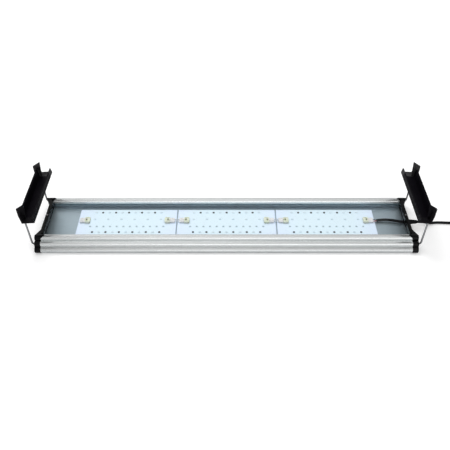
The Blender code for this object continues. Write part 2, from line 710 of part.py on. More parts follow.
def build_finishes():
    return {
        "aluminium": material("anodised_aluminium", (0.78, 0.79, 0.80), 0.32, 1.0),
        "cap": material("black_end_cap", (0.015, 0.016, 0.018), 0.4),
        "cover": material("clear_acrylic", (0.90, 0.96, 0.98), 0.05, 0.0, 0.25),
        "board": material("white_circuit_board", (0.80, 0.88, 0.92), 0.35),
        "connector": material("cream_connector", (0.80, 0.76, 0.60), 0.45),
        "near_core": material("red_core", (0.45, 0.03, 0.02), 0.4),
        "far_core": material("black_core", (0.02, 0.02, 0.02), 0.4),
        "cord": material("black_cable", (0.012, 0.012, 0.014), 0.45),
        "moulded": material("black_moulding", (0.014, 0.014, 0.016), 0.4),
        "tie": material("black_tie", (0.02, 0.02, 0.022), 0.6),
        "nickel": material("nickel_plate", (0.70, 0.69, 0.66), 0.25, 1.0),
        "steel": material("steel_wire", (0.62, 0.62, 0.63), 0.3, 1.0),
        "zinc": material("zinc_screw", (0.60, 0.60, 0.61), 0.35, 1.0),
        "foot": material("black_foot", (0.014, 0.013, 0.017), 0.42),
    }


def main():
    clear_scene()
    finishes = build_finishes()
    build_housing(finishes["aluminium"])
    build_cover(finishes["cover"])
    for number, middle in enumerate(board_middles(), 1):
        build_board(number, middle, finishes)
    build_plugs(finishes)
    build_jumper_leads(finishes)
    build_inner_lead(finishes)
    for name, side in (("left", -1), ("right", 1)):
        build_cap(name + "_end_cap", side, finishes["cap"])
        build_cap_screws(name + "_cap_screw", side, finishes["zinc"])
        build_top_screw(name + "_cover_screw", side, finishes["zinc"])
        build_bracket(name + "_bracket_wire", side, finishes["steel"])
        build_foot(name + "_foot", side, finishes["foot"])
    build_gland(finishes["moulded"])
    build_blanking_plug(finishes["moulded"])
    build_cord(finishes)
    build_tie(finishes["tie"])
    build_dc_plug(finishes)


main()
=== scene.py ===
"""Looks and fine shapes of an aquarium LED light, lying on its back with its tank feet standing."""

import math

import bpy
from bpy.props import FloatProperty, FloatVectorProperty, IntProperty, PointerProperty
from bpy.types import Operator, Panel, PropertyGroup
from mathutils import Matrix, Vector


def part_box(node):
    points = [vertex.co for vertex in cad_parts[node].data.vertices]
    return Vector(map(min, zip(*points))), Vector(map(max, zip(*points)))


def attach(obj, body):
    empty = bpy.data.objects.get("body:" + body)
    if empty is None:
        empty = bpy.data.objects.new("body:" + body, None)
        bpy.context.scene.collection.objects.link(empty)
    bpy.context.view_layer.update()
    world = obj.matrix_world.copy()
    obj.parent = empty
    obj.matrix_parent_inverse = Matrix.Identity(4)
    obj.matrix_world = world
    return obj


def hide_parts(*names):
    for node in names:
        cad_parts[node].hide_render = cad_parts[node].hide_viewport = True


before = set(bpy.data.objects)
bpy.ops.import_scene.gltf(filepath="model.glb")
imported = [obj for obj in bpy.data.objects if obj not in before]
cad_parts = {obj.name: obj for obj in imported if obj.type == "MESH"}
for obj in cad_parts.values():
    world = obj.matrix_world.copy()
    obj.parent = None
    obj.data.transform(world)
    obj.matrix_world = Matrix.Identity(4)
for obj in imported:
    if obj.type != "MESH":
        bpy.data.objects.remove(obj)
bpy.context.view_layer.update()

bl_info = {
    "name": "Aquarium LED light",
    "version": (1, 0, 0),
    "blender": (4, 5, 0),
    "location": "3D View > Sidebar > Light",
    "description": "Fine shapes and finishes of an aquarium LED light on its packed frame",
    "category": "Object",
}

MM = 0.001
X, Y, Z = Vector((1, 0, 0)), Vector((0, 1, 0)), Vector((0, 0, 1))
TOUCH = 0.0003                     # gap between neighbouring solids
GLAND_END = 358.0 * MM             # mouth of the strain relief
LEAD_HEIGHT = 13.4 * MM            # middle of the lead where it passes the caps
BOARD_BASE = 9.7 * MM
BOARD_TOP = 11.3 * MM
PICTURE = 450                      # pixels, both ways


def mm(*lengths):
    """Millimetres as metres."""
    return tuple(length * MM for length in lengths)


# Properties that a user would change

def size(name, millimetres, description):
    return FloatProperty(name=name, description=description, default=millimetres * MM, min=0.0,
                         subtype="DISTANCE", unit="LENGTH")


def colour(name, value, description):
    return FloatVectorProperty(name=name, description=description, default=value, size=3,
                               min=0.0, max=1.0, subtype="COLOR")


class HousingSizes(PropertyGroup):
    half: size("Half length", 335.2, "From the middle to an end of the aluminium housing")
    height: size("Height", 27.5, "Top of the rails over the surface")
    round: size("Round radius", 6.0, "Radius of the three rounds of a rail")
    tray: size("Tray half width", 42.0, "From the middle to the tray's wall")
    floor: size("Tray floor", 9.4, "Height of the tray's floor")
    under: size("Plate underside", 6.6, "Height of the plate that the fins hang from")
    slot: size("Slot half width", 46.6, "From the middle to the bottom of a cover slot")
    slot_low: size("Slot floor", 16.2, "Height of the cover slot's lower face")
    slot_high: size("Slot roof", 18.6, "Height of the cover slot's upper face")
    soften: size("Edge round", 0.25, "Radius of the extrusion's corners")


class CapSizes(PropertyGroup):
    thick: size("Thickness", 10.5, "Along the light, at the rails")
    web: size("Web thickness", 2.9, "Along the light, between the rails")
    proud: size("Proud", 0.3, "How far the cap stands out round the housing")
    tongue: size("Tongue", 3.5, "Reach over the end of the cover")
    soften: size("Edge round", 0.7, "Radius of the outer edges")


class BracketSizes(PropertyGroup):
    radius: size("Wire radius", 1.6, "Radius of the bent wire")
    inside: size("Rod inside", 120.0, "Length of a rod inside the light")
    bend: size("Bend radius", 4.5, "Radius of the wire's bends, at its middle line")
    crossbar: size("Crossbar height", 72.4, "Height of the crossbar over the surface")


class FootSizes(PropertyGroup):
    length: size("Length", 138.0, "Along the crossbar")
    under: size("Web underside", 3.2, "From the crossbar's middle line up to the web")
    web: size("Web thickness", 2.6, "Thickness of the web")
    inner: size("Inner reach", 21.5, "From the crossbar in to the inner wall's face")
    soften: size("Edge round", 0.5, "Radius of the moulding's edges")


class BoardSizes(PropertyGroup):
    length: size("Length", 184.5, "Length of one board")
    width: size("Width", 70.0, "Width of one board")
    thick: size("Thickness", 1.6, "Thickness of one board")
    space: size("Space", 2.5, "Between two boards")
    pitch: size("Row pitch", 24.9, "Between two lamps of a row")


class LeadSizes(PropertyGroup):
    length: size("Length", 1199.0, "Whole length of the lead outside the light")
    diameter: size("Diameter", 5.0, "Diameter of the sheath")
    turns: IntProperty(name="Turns", description="Turns of the stored coil", default=6, min=1)


class Finishes(PropertyGroup):
    aluminium: colour("Aluminium", (0.90, 0.925, 0.925), "Anodised aluminium of the housing")
    cap: colour("End cap", (0.0015, 0.0015, 0.002), "Black end caps")
    foot: colour("Foot", (0.0025, 0.002, 0.0035), "Black feet")
    board: colour("Board", (0.74, 0.89, 0.97), "White boards under the cover")
    nylon: colour("Connector", (0.74, 0.77, 0.68), "Sockets and plugs")
    cable: colour("Cable", (0.004, 0.004, 0.005), "Sheath of the lead")
    steel: colour("Wire", (0.48, 0.48, 0.49), "Bracket wire and screws")


GROUPS = {
    "aqua_housing": HousingSizes,
    "aqua_cap": CapSizes,
    "aqua_bracket": BracketSizes,
    "aqua_foot": FootSizes,
    "aqua_board": BoardSizes,
    "aqua_lead": LeadSizes,
    "aqua_finish": Finishes,
}


def sizes(name):
    return getattr(bpy.context.scene, "aqua_" + name)


# Shader maths

def arithmetic(operation, swapped=False):
    """A Value's method for one sign."""
    def method(self, other):
        return self.math(operation, *((other, self) if swapped else (self, other)))
    return method


class Value:
    """A socket that can be reckoned with: an expression on it adds its Math nodes."""

    def __init__(self, tree, socket):
        self.tree = tree
        self.socket = socket

    def math(self, operation, *terms):
        node = self.tree.nodes.new("ShaderNodeMath")
        node.operation = operation
        for place, term in enumerate(terms):
            if isinstance(term, Value):
                self.tree.links.new(term.socket, node.inputs[place])
            else:
                node.inputs[place].default_value = term
        return Value(self.tree, node.outputs[0])

    __add__ = __radd__ = arithmetic("ADD")
    __mul__ = __rmul__ = arithmetic("MULTIPLY")
    __sub__ = arithmetic("SUBTRACT")
    __rsub__ = arithmetic("SUBTRACT", swapped=True)
    __truediv__ = arithmetic("DIVIDE")
    __gt__ = arithmetic("GREATER_THAN")
    __lt__ = arithmetic("LESS_THAN")

    def __abs__(self):
        return self.math("ABSOLUTE", self)

    def clamp(self):
        return self.math("MINIMUM", self.math("MAXIMUM", self, 0.0), 1.0)

    def between(self, low, high):
        """0 below low, 1 above high and a ramp from one to the other."""
        return ((self - low) / (high - low)).clamp()


class Node:
    """A made node, whose outputs are Values."""

    def __init__(self, tree, inner):
        self.tree = tree
        self.inner = inner

    def output(self, name):
        return Value(self.tree, self.inner.outputs[name])


class Nodes:
    """A node tree that nodes are added to."""

    def __init__(self, tree):
        self.tree = tree

    def node(self, kind, settings=None, inputs=None):
        """Adds a node: its settings first, then the values or links of its sockets."""
        inner = self.tree.nodes.new(kind)
        for name, value in (settings or {}).items():
            if name == "stops":
                stops = inner.color_ramp.elements
                while len(stops) < len(value):
                    stops.new(0.5)
                for stop, (position, shade) in zip(stops, value):
                    stop.position = position
                    stop.color = (*shade, 1.0)
            else:
                setattr(inner, name, value)
        for name, value in (inputs or {}).items():
            self.give(inner.inputs[name], value)
        return Node(self.tree, inner)

    def give(self, socket, value):
        if isinstance(value, Value):
            self.tree.links.new(value.socket, socket)
        elif isinstance(value, tuple) and socket.type == "RGBA":
            socket.default_value = (*value[:3], 1.0)
        else:
            socket.default_value = value

    def mix(self, factor, first, second):
        """Mixed colour; first and second are colours or links."""
        made = self.node("ShaderNodeMix", {"data_type": "RGBA"}, {0: factor, 6: first, 7: second})
        return made.output(2)

    def ramp(self, value, *stops):
        """Grey levels over a value, as (position, level) pairs."""
        grey = [(position, (level, level, level)) for position, level in stops]
        made = self.node("ShaderNodeValToRGB", {"stops": grey}, {"Fac": value})
        return made.output("Color")


class Look(Nodes):
    """One procedural finish on a Principled BSDF."""

    def __init__(self, name, base, roughness, metallic=0.0, specular=0.5):
        self.material = bpy.data.materials.new(name)
        self.material.use_nodes = True
        super().__init__(self.material.node_tree)
        self.shader = self.tree.nodes["Principled BSDF"]
        self.set("Base Color", base)
        self.set("Roughness", roughness)
        self.set("Metallic", metallic)
        self.set("Specular IOR Level", specular)
        self.place = self.node("ShaderNodeTexCoord").output("Object")

    def set(self, socket, value):
        self.give(self.shader.inputs[socket], value)

    def axis(self, letter):
        return self.node("ShaderNodeSeparateXYZ", None, {0: self.place}).output(letter)

    def noise(self, scale, detail=3.0, stretch=(1, 1, 1), roughness=0.5):
        """Even noise in object space, scale in cycles per metre, drawn out by stretch."""
        moved = self.node("ShaderNodeMapping", None, {"Vector": self.place, "Scale": stretch})
        made = self.node("ShaderNodeTexNoise", {"noise_dimensions": "3D"},
                         {"Vector": moved.output("Vector"), "Scale": scale, "Detail": detail,
                          "Roughness": roughness})
        return made.output("Fac")

    def bump(self, height, strength, depth):
        made = self.node("ShaderNodeBump", None, {"Strength": strength, "Distance": depth, "Height": height})
        self.set("Normal", made.output("Normal"))


# Finishes

def tinted(base, *factors):
    """A colour times one factor, or times one for each of its channels."""
    return tuple(c * f for c, f in zip(base, factors if len(factors) == 3 else factors * 3))


def plastic(name, base, roughness, grain=0.06, specular=0.35, lit_ears=None):
    """Moulded plastic with a fine spark-eroded grain and an uneven sheen; a last colour, where given, is painted
    light that makes the ears at the ends paler, the far ear most.
    """
    look = Look(name, base, roughness, 0.0, specular)
    patch = look.noise(60.0, 2.0)
    fine = look.noise(2600.0, 2.0)
    look.set("Roughness", roughness + 0.12 * (patch - 0.5) + 0.08 * (fine - 0.5))
    pale = tuple(min(1.0, c * 1.5 + 0.004) for c in base)
    skin = look.mix((patch - 0.35).clamp(), base, pale)
    if lit_ears:
        y = look.axis("Y")
        # painted light: the foot's far end with its ear is painted paler, and the near end faintly, as lit from the
        # front
        ends = y.between(54.5 * MM, 55.5 * MM) + 0.1 * (0.0 - y).between(56.0 * MM, 56.8 * MM)
        skin = look.mix(ends * patch.between(0.2, 0.5), skin, lit_ears)
    look.set("Base Color", skin)
    look.bump(fine, grain, 0.0002)
    return look.material


def anodised(name, base):
    """Extruded aluminium: fine lines along X and a satin sheen; the tray between the rails is duller and darker,
    partly as painted shade, and its walls and each rail's lowest groove carry painted shade.
    """
    look = Look(name, base, 0.36, 1.0)
    lines = look.noise(900.0, 4.0, (0.012, 1.0, 1.0), 0.65)
    broad = look.noise(140.0, 2.0, (0.02, 1.0, 1.0))
    across, up = abs(look.axis("Y")), look.axis("Z")
    under_cover = (across < 46.7 * MM) * (up < 18.7 * MM) * (up > 6.0 * MM)
    # painted shade: the tray's side walls below the cover slots are painted dark, as shade between the rails
    wall = under_cover * (across > 41.9 * MM) * (up < 16.1 * MM)
    tone = (0.80 + 0.40 * (lines - 0.5) + 0.50 * (broad - 0.5)).clamp()
    # painted shade: the groove between each rail's two lower rounds is painted darker
    shaded_groove = (up > 9.0 * MM) * (up < 13.2 * MM) * (across > 60.0 * MM)
    bright = look.mix(tone * (1.0 - 0.9 * shaded_groove), tinted(base, 0.72), base)
    # tray colour under the cover: darker and bluer, partly a duller finish, partly painted shade
    dull_and_shaded = look.mix(tone, tinted(base, 0.50, 0.60, 0.66),
                    tinted(base, 0.62, 0.73, 0.80))
    # dark wall colour: painted shade for the tray's side walls
    dark = tinted(base, 0.24, 0.28, 0.32)
    look.set("Base Color", look.mix(wall, look.mix(under_cover, bright, dull_and_shaded), dark))
    look.set("Roughness", 0.27 + 0.12 * (lines - 0.5) + 0.06 * (broad - 0.5) + 0.16 * under_cover)
    look.set("Metallic", 0.88)
    look.bump(lines, 0.10, 0.00008)
    return look.material


def drawn_steel(name, base, roughness=0.28):
    look = Look(name, base, roughness, 1.0)
    cloudy = look.noise(220.0, 4.0)
    look.set("Roughness", roughness + 0.16 * (cloudy - 0.5))
    look.set("Base Color", look.mix((cloudy - 0.2).clamp(), tinted(base, 0.78), base))
    look.bump(look.noise(1800.0, 2.0), 0.05, 0.0001)
    return look.material


def acrylic(name):
    """Clear sheet: a thin mirror film that is strongest at a flat angle, over what is behind it."""
    look = Look(name, (0.90, 0.95, 0.97), 0.05, 1.0)
    haze = look.noise(30.0, 2.0)
    slant = look.node("ShaderNodeLayerWeight", None, {"Blend": 0.5}).output("Facing")
    film = 0.010 + 0.5 * slant.math("POWER", slant, 5.0)
    look.set("Alpha", film + 0.008 * haze)
    look.set("Roughness", 0.04 + 0.05 * haze)
    return look.material


def nylon(name, base):
    """Milky nylon, a little greener in patches, with painted shade that makes it darker and browner towards its foot.
    """
    look = Look(name, base, 0.42, 0.0, 0.35)
    patch = look.noise(260.0, 2.0)
    # painted shade: the lower part of each socket is painted darker and browner
    low = look.axis("Z").between(14.6 * MM, 11.6 * MM)
    green = tinted(base, 0.95, 1.01, 0.84)
    shaded_brown = tinted(base, 0.62, 0.52, 0.44)
    body = look.mix(patch.between(0.40, 0.62), base, green)
    look.set("Base Color", look.mix(0.5 * low, body, shaded_brown))
    look.bump(look.noise(1800.0, 2.0), 0.06, 0.0002)
    return look.material


def circuit_board(name, base, pitch):
    """White solder mask, bluer at the ends of each board and greener in its middle."""
    look = Look(name, base, 0.38, 0.0, 0.35)
    x = look.axis("X")
    along = abs((x / pitch + 0.5).math("FRACT", x / pitch + 0.5) - 0.5) * 2.0
    cool = along.between(0.55, 1.0)
    lilac = tinted(base, 1.01, 0.97, 1.05)
    fleck = look.noise(420.0, 3.0)
    body = look.mix(cool, base, lilac)
    look.set("Base Color", look.mix((fleck - 0.62).clamp() * 1.2, body, tinted(base, 0.86)))
    look.set("Roughness", 0.34 + 0.12 * fleck)
    look.bump(fleck, 0.05, 0.0001)
    return look.material


def cable(name, base):
    """PVC sheath with a soft sheen and slight mould marks."""
    look = Look(name, base, 0.42, 0.0, 0.12)
    patch = look.noise(90.0, 3.0)
    look.set("Roughness", 0.36 + 0.16 * patch)
    look.set("Base Color", look.mix(patch, base, tuple(c * 1.7 + 0.003 for c in base)))
    look.bump(look.noise(1500.0, 2.0), 0.08, 0.0001)
    return look.material


# Modelling by hand

def mode(kind):
    bpy.ops.object.mode_set(mode=kind)


def select_all():
    bpy.ops.mesh.select_all(action="SELECT")


def merge():
    bpy.ops.mesh.remove_doubles(threshold=1e-6)


def face_out():
    bpy.ops.mesh.normals_make_consistent(inside=False)


def pull(way):
    bpy.ops.mesh.extrude_region_move(TRANSFORM_OT_translate={"value": way})


def drop(piece):
    bpy.data.objects.remove(piece, do_unlink=True)


def settle():
    """Applies the place, turn and scale of what is selected."""
    bpy.ops.object.transform_apply(location=True, rotation=True, scale=True)


def beyond(base, *steps):
    """Points of a turned profile: (millimetres past base, radius in millimetres)."""
    return [(base + along * MM, radius * MM) for along, radius in steps]


def deselect():
    if bpy.context.object and bpy.context.object.mode != "OBJECT":
        mode("OBJECT")
    bpy.ops.object.select_all(action="DESELECT")


def pick(*pieces):
    """Selects these pieces alone, the first of them active."""
    deselect()
    for piece in pieces:
        piece.select_set(True)
    bpy.context.view_layer.objects.active = pieces[0]


def edit(piece, *steps):
    """Runs steps on the whole of a piece in edit mode."""
    pick(piece)
    mode("EDIT")
    select_all()
    for step in steps:
        step()
    mode("OBJECT")


def outward(piece):
    edit(piece, merge, face_out)


def choose_faces(piece, test):
    """In edit mode, selects the faces whose centre and normal pass the test."""
    bpy.ops.mesh.select_mode(type="FACE")
    bpy.ops.mesh.select_all(action="DESELECT")
    mode("OBJECT")
    for face in piece.data.polygons:
        face.select = test(face.center, face.normal)
    mode("EDIT")


class Outline:
    """A line drawn in edit mode: a point that is extruded and spun on its way."""

    def __init__(self, name, start):
        deselect()
        bpy.ops.mesh.primitive_plane_add(size=MM, location=(0, 0, 0))
        self.piece = bpy.context.object
        self.piece.name = name
        mode("EDIT")
        bpy.ops.mesh.select_mode(type="VERT")
        select_all()
        bpy.ops.mesh.merge(type="CENTER")
        bpy.ops.transform.translate(value=start)
        self.pen = Vector(start)

    def to(self, *points):
        for point in points:
            step = Vector(point) - self.pen
            if step.length > 1e-7:
                bpy.ops.mesh.extrude_vertices_move(TRANSFORM_OT_translate={"value": step})
            self.pen = Vector(point)
        return self

    def round(self, centre, angle, axis, steps):
        """Right-handed turn about an axis through centre."""
        centre = Vector(centre)
        bpy.ops.mesh.spin(steps=steps, angle=-angle, center=centre, axis=axis)
        self.pen = centre + Matrix.Rotation(angle, 3, axis) @ (self.pen - centre)
        return self

    def closed(self):
        select_all()
        merge()
        bpy.ops.mesh.edge_face_add()
        return self

    def run(self, way):
        """Pulls what is drawn along way and returns the piece."""
        select_all()
        pull(way)
        mode("OBJECT")
        outward(self.piece)
        return self.piece

    def turned(self, centre, axis, steps=32):
        """Turns what is drawn right round an axis and returns the piece."""
        select_all()
        bpy.ops.mesh.spin(steps=steps, angle=2 * math.pi, center=centre, axis=axis)
        mode("OBJECT")
        outward(self.piece)
        return self.piece


def prism(name, points, way):
    return Outline(name, points[0]).to(*points[1:]).closed().run(way)


def lathe(name, profile, centre, axis, steps=32):
    """Turned piece: profile holds (place along the axis, radius) and starts and ends on the axis."""
    side = Z if axis != Z else X
    centre = Vector(centre)
    points = [centre + axis * along + side * radius for along, radius in profile]
    return Outline(name, points[0]).to(*points[1:]).turned(centre, axis, steps)


def block(name, centre, lengths, soften=0.0, segments=2):
    """Box on its lowest face's centre, with softened edges."""
    deselect()
    x, y, z = centre
    bpy.ops.mesh.primitive_cube_add(size=1.0, location=(x, y, z + lengths[2] / 2), scale=lengths)
    piece = bpy.context.object
    piece.name = name
    settle()
    if soften:
        edit(piece, lambda: bpy.ops.mesh.bevel(offset=soften, segments=segments, affect="EDGES"))
    return piece


def rod(name, centre, axis, radius, low, high, sides=32):
    """Plain round bar or cutter from low to high along the axis."""
    return lathe(name, [(low, 0.0), (low, radius), (high, radius), (high, 0.0)], centre, axis, sides)


def apply(piece, kind, **settings):
    pick(piece)
    step = piece.modifiers.new(kind.title(), kind)
    for name, value in settings.items():
        setattr(step, name, value)
    bpy.ops.object.modifier_apply(modifier=step.name)


def soften(piece, width, segments=3, angle=40):
    apply(piece, "BEVEL", width=width, segments=segments, limit_method="ANGLE",
          angle_limit=math.radians(angle), use_clamp_overlap=True)


def copy_at(piece, place=(0, 0, 0), scale=(1, 1, 1)):
    """A copy with its own mesh, moved and scaled from where the piece was modelled."""
    pick(piece)
    bpy.ops.object.duplicate(linked=False)
    copy = bpy.context.object
    copy.location, copy.scale = place, scale
    settle()
    return copy


def mirrored(piece):
    """The piece's mirror image at the other end of the light."""
    copy = copy_at(piece, scale=(-1, 1, 1))
    outward(copy)
    return copy


def combine(piece, others, operation):
    for other in others:
        apply(piece, "BOOLEAN", operation=operation, solver="EXACT", object=other)
        drop(other)
    return piece


def cut(piece, *cutters):
    return combine(piece, cutters, "DIFFERENCE")


def weld(piece, *others):
    return combine(piece, others, "UNION")


def join(pieces, name):
    pick(*pieces)
    if len(pieces) > 1:
        bpy.ops.object.join()
    bpy.context.object.name = name
    return bpy.context.object


def copies(piece, shifts, name):
    """The piece at each shift from where it was modelled, joined into one object."""
    made = [copy_at(piece, shift) for shift in shifts]
    drop(piece)
    return join(made, name)


def finish(piece, name, slot, tone, *nodes, body="root", angle=32):
    """Applies the piece's place, shades it and hands it to the frame."""
    pick(piece)
    piece.name = name
    settle()
    bpy.ops.object.shade_smooth_by_angle(angle=math.radians(angle))
    apply(piece, "WEIGHTED_NORMAL", keep_sharp=True)
    if tone:
        piece.data.materials.clear()
        piece.data.materials.append(look(tone))
    if nodes:
        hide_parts(*nodes)
    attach(piece, body)
    return piece


def coated(piece, *tones):
    for tone in tones:
        piece.data.materials.append(look(tone))
    return piece


def finish_pair(piece, name, body, slot, tone, node, angle=32):
    """Finishes a piece of the right end and its mirror image, their side in place of {}."""
    for side, copy in (("right", piece), ("left", mirrored(piece))):
        finish(copy, name.format(side), slot, tone, node.format(side), body=body.format(side), angle=angle)


LOOKS = {}


def look(name):
    """The finishes, each made once."""
    if not LOOKS:
        tone, board = sizes("finish"), sizes("board")
        rubber, steel = tuple(tone.cable), tuple(tone.steel)
        for key, maker, *given in (
                ("aluminium", anodised, "anodised_aluminium", tuple(tone.aluminium)),
                ("acrylic", acrylic, "clear_acrylic"),
                ("cap", plastic, "cap_plastic", tuple(tone.cap), 0.20, 0.05, 0.16),
                # the foot's last colour is painted light for the paler ends and ears
                ("foot", plastic, "foot_plastic", tuple(tone.foot), 0.44, 0.08, 0.06, (0.050, 0.049, 0.051)),
                ("board", circuit_board, "white_board", tuple(tone.board), board.length + board.space),
                ("lamp", plastic, "lamp_body", (0.60, 0.75, 0.84), 0.35, 0.02),
                ("pale_window", plastic, "pale_window", (0.64, 0.76, 0.82), 0.30, 0.02),
                ("tinted_window", plastic, "tinted_window", (0.28, 0.36, 0.37), 0.30, 0.02),
                ("chip", plastic, "chip_body", (0.006, 0.008, 0.010), 0.35, 0.02, 0.15),
                ("tin", drawn_steel, "tinned_ends", (0.30, 0.32, 0.34), 0.45),
                ("nylon", nylon, "connector_nylon", tuple(tone.nylon)),
                ("plug_nylon", plastic, "plug_nylon", (0.70, 0.71, 0.71), 0.42, 0.05),
                ("red", plastic, "red_insulation", (0.42, 0.035, 0.03), 0.40, 0.03),
                ("black", plastic, "black_insulation", (0.012, 0.012, 0.013), 0.40, 0.03),
                ("steel", drawn_steel, "drawn_wire", steel),
                ("zinc", drawn_steel, "zinc_plate", tinted(steel, 1.1), 0.34),
                ("nickel", drawn_steel, "nickel_plate", (0.70, 0.68, 0.64), 0.2),
                ("cable", cable, "cable_sheath", rubber),
                ("moulding", plastic, "soft_moulding", rubber, 0.48, 0.10, 0.12),
                ("tie", plastic, "tie_band", (0.02, 0.02, 0.022), 0.55, 0.15)):
            LOOKS[key] = maker(*given)
    return LOOKS[name]


def tube(name, points, radius, rings):
    """Smooth round tube through points, with closed ends, as a curve object."""
    curve = bpy.data.curves.new(name, "CURVE")
    curve.dimensions = "3D"
    curve.bevel_depth = radius
    curve.bevel_resolution = rings
    curve.resolution_u = 4
    curve.use_fill_caps = True
    spline = curve.splines.new("BEZIER")
    spline.bezier_points.add(len(points) - 1)
    for knot, point in zip(spline.bezier_points, points):
        knot.co = point
        knot.handle_left_type = knot.handle_right_type = "AUTO"
    piece = bpy.data.objects.new(name, curve)
    bpy.context.scene.collection.objects.link(piece)
    return piece


def strand(name, points, radius, tone, slot, *nodes):
    """Fixed insulated wire along points."""
    piece = tube(name, points, radius, 4)
    pick(piece)
    bpy.ops.object.convert(target="MESH")
    return finish(piece, name, slot, tone, *nodes, angle=50)


# Section of the light

def rail_rounds():
    """Centres (y, z) of the three rounds of the right-hand rail."""
    house = sizes("housing")
    return ((49.3 * MM, house.height - house.round), (58.0 * MM, 14.0 * MM), (64.0 * MM, house.round))


def draw_rail(pen, x, radius, start, base):
    """Round the outside of the three rounds, from height start on the first down to height base."""
    centres = rail_rounds()
    angle = math.pi - math.asin((start - centres[0][1]) / radius)
    for (y, z), following in zip(centres, centres[1:] + (None,)):
        if following:
            towards = math.atan2(following[1] - z, following[0] - y)
            meet = math.acos(math.dist((y, z), following) / 2 / radius)
            stop = towards + meet
        else:
            stop = math.asin((base - z) / radius)
        first = Vector((x, y + radius * math.cos(angle), z + radius * math.sin(angle)))
        pen.to(first)
        steps = max(6, round(abs(stop - angle) / math.radians(6)))
        pen.round((x, y, z), stop - angle, X, steps)
        if following:
            angle = towards + math.pi - meet


def half_section(name, x, way, draw, start):
    """Draws the right half of a section, pulls it along X and mirrors it across the light."""
    pen = Outline(name, start)
    draw(pen)
    select_all()
    pull((way, 0, 0))
    mode("OBJECT")
    apply(pen.piece, "MIRROR", use_axis=(False, True, False), use_clip=True, merge_threshold=1e-5)
    edit(pen.piece, merge, lambda: bpy.ops.mesh.fill_holes(sides=0), face_out)
    return pen.piece


# Operators

class AQUA_OT_stage(Operator):
    """Add the floor, the soft lights and the camera of the photograph's view"""
    bl_idname = "aqua.stage"
    bl_label = "Stage"

    def execute(self, context):
        self.camera(context)
        self.floor()
        self.world(context)
        self.lamp("key", (-0.6, 0.9, 2.1), 1.5, 26.0)
        self.lamp("fill", (0.9, -0.7, 2.0), 1.4, 10.0)
        context.scene.view_settings.view_transform = "Standard"
        return {"FINISHED"}

    def camera(self, context):
        pitch, distance, aim = math.radians(44), 1.0541, 0.020
        middle = (226.6, 219.26)
        data = bpy.data.cameras.new("camera")
        data.sensor_width = 36.0
        data.lens = 45.0
        data.shift_x = (PICTURE / 2 - middle[0]) / PICTURE
        data.shift_y = (middle[1] - PICTURE / 2) / PICTURE
        camera = bpy.data.objects.new("camera", data)
        camera.location = (0, -distance * math.cos(pitch), aim + distance * math.sin(pitch))
        camera.rotation_euler = (math.pi / 2 - pitch, 0, 0)
        context.scene.collection.objects.link(camera)
        context.scene.camera = camera

    def floor(self):
        """Pale floor: near white to the camera with the object's shadow, greyer in the metal's reflections."""
        deselect()
        bpy.ops.mesh.primitive_plane_add(size=12, location=(0, 0, 0))
        ground = bpy.context.object
        ground.name = "floor"
        look = Look("floor", (0.86, 0.86, 0.86), 0.8, 0.0, 0.0)
        path = look.node("ShaderNodeLightPath")
        look.set("Base Color", look.mix(path.output("Is Glossy Ray"), (0.95, 0.95, 0.95), (0.60, 0.61, 0.62)))
        seen = (path.output("Is Camera Ray") + path.output("Is Transmission Ray")).clamp()
        x, y = look.axis("X"), look.axis("Y")
        away = (x * x + y * y).math("SQRT", x * x + y * y).between(0.9, 2.4)
        look.set("Emission Color", look.mix(seen * (0.21 + 0.5 * away), (0.0, 0.0, 0.0), (1.0, 1.0, 1.0)))
        look.set("Emission Strength", 1.0)
        ground.data.materials.append(look.material)

    def world(self, context):
        """Soft room: white to the camera, brighter overhead, with a band of light low in front."""
        world = bpy.data.worlds.new("studio")
        world.use_nodes = True
        context.scene.world = world
        room = Nodes(world.node_tree)
        parts = room.node("ShaderNodeSeparateXYZ", None,
                          {0: room.node("ShaderNodeTexCoord").output("Generated")})
        up, back = parts.output("Z"), parts.output("Y")
        height = up.math("ARCTAN2", up, 0.0 - back) / math.pi
        x = parts.output("X")
        soft_box = room.ramp(height, (0.0, 0.62), (0.05, 0.82), (0.20, 0.88), (0.30, 0.78), (0.5, 0.75),
                             (0.75, 0.69), (1.0, 0.58))
        strip = 0.92 * height.between(0.05, 0.08) * height.between(0.19, 0.16) * x.between(-0.34, -0.03)
        screen = 0.9 * x.between(-0.262, -0.31) * x.between(-0.62, -0.50) * height.between(0.72, 0.60)
        band = ((1.0 - 0.75 * x) * soft_box + strip) * (1.0 - screen)
        path = room.node("ShaderNodeLightPath")
        glossy, camera = path.output("Is Glossy Ray"), path.output("Is Camera Ray")
        soft = 0.32 + 0.30 * up.clamp()
        unseen = room.mix(glossy, soft, band)
        glow = world.node_tree.nodes["Background"]
        room.give(glow.inputs["Color"], room.mix(camera, unseen, (1.0, 1.0, 1.0)))

    def lamp(self, name, place, across, power):
        """Round soft lamp that points at the light's middle and doesn't show in reflections."""
        data = bpy.data.lights.new(name, "AREA")
        data.shape = "DISK"
        data.size = across
        data.energy = power
        lamp = bpy.data.objects.new(name, data)
        lamp.location = place
        lamp.rotation_euler = (-Vector(place)).to_track_quat("-Z", "Y").to_euler()
        lamp.visible_glossy = False
        bpy.context.scene.collection.objects.link(lamp)


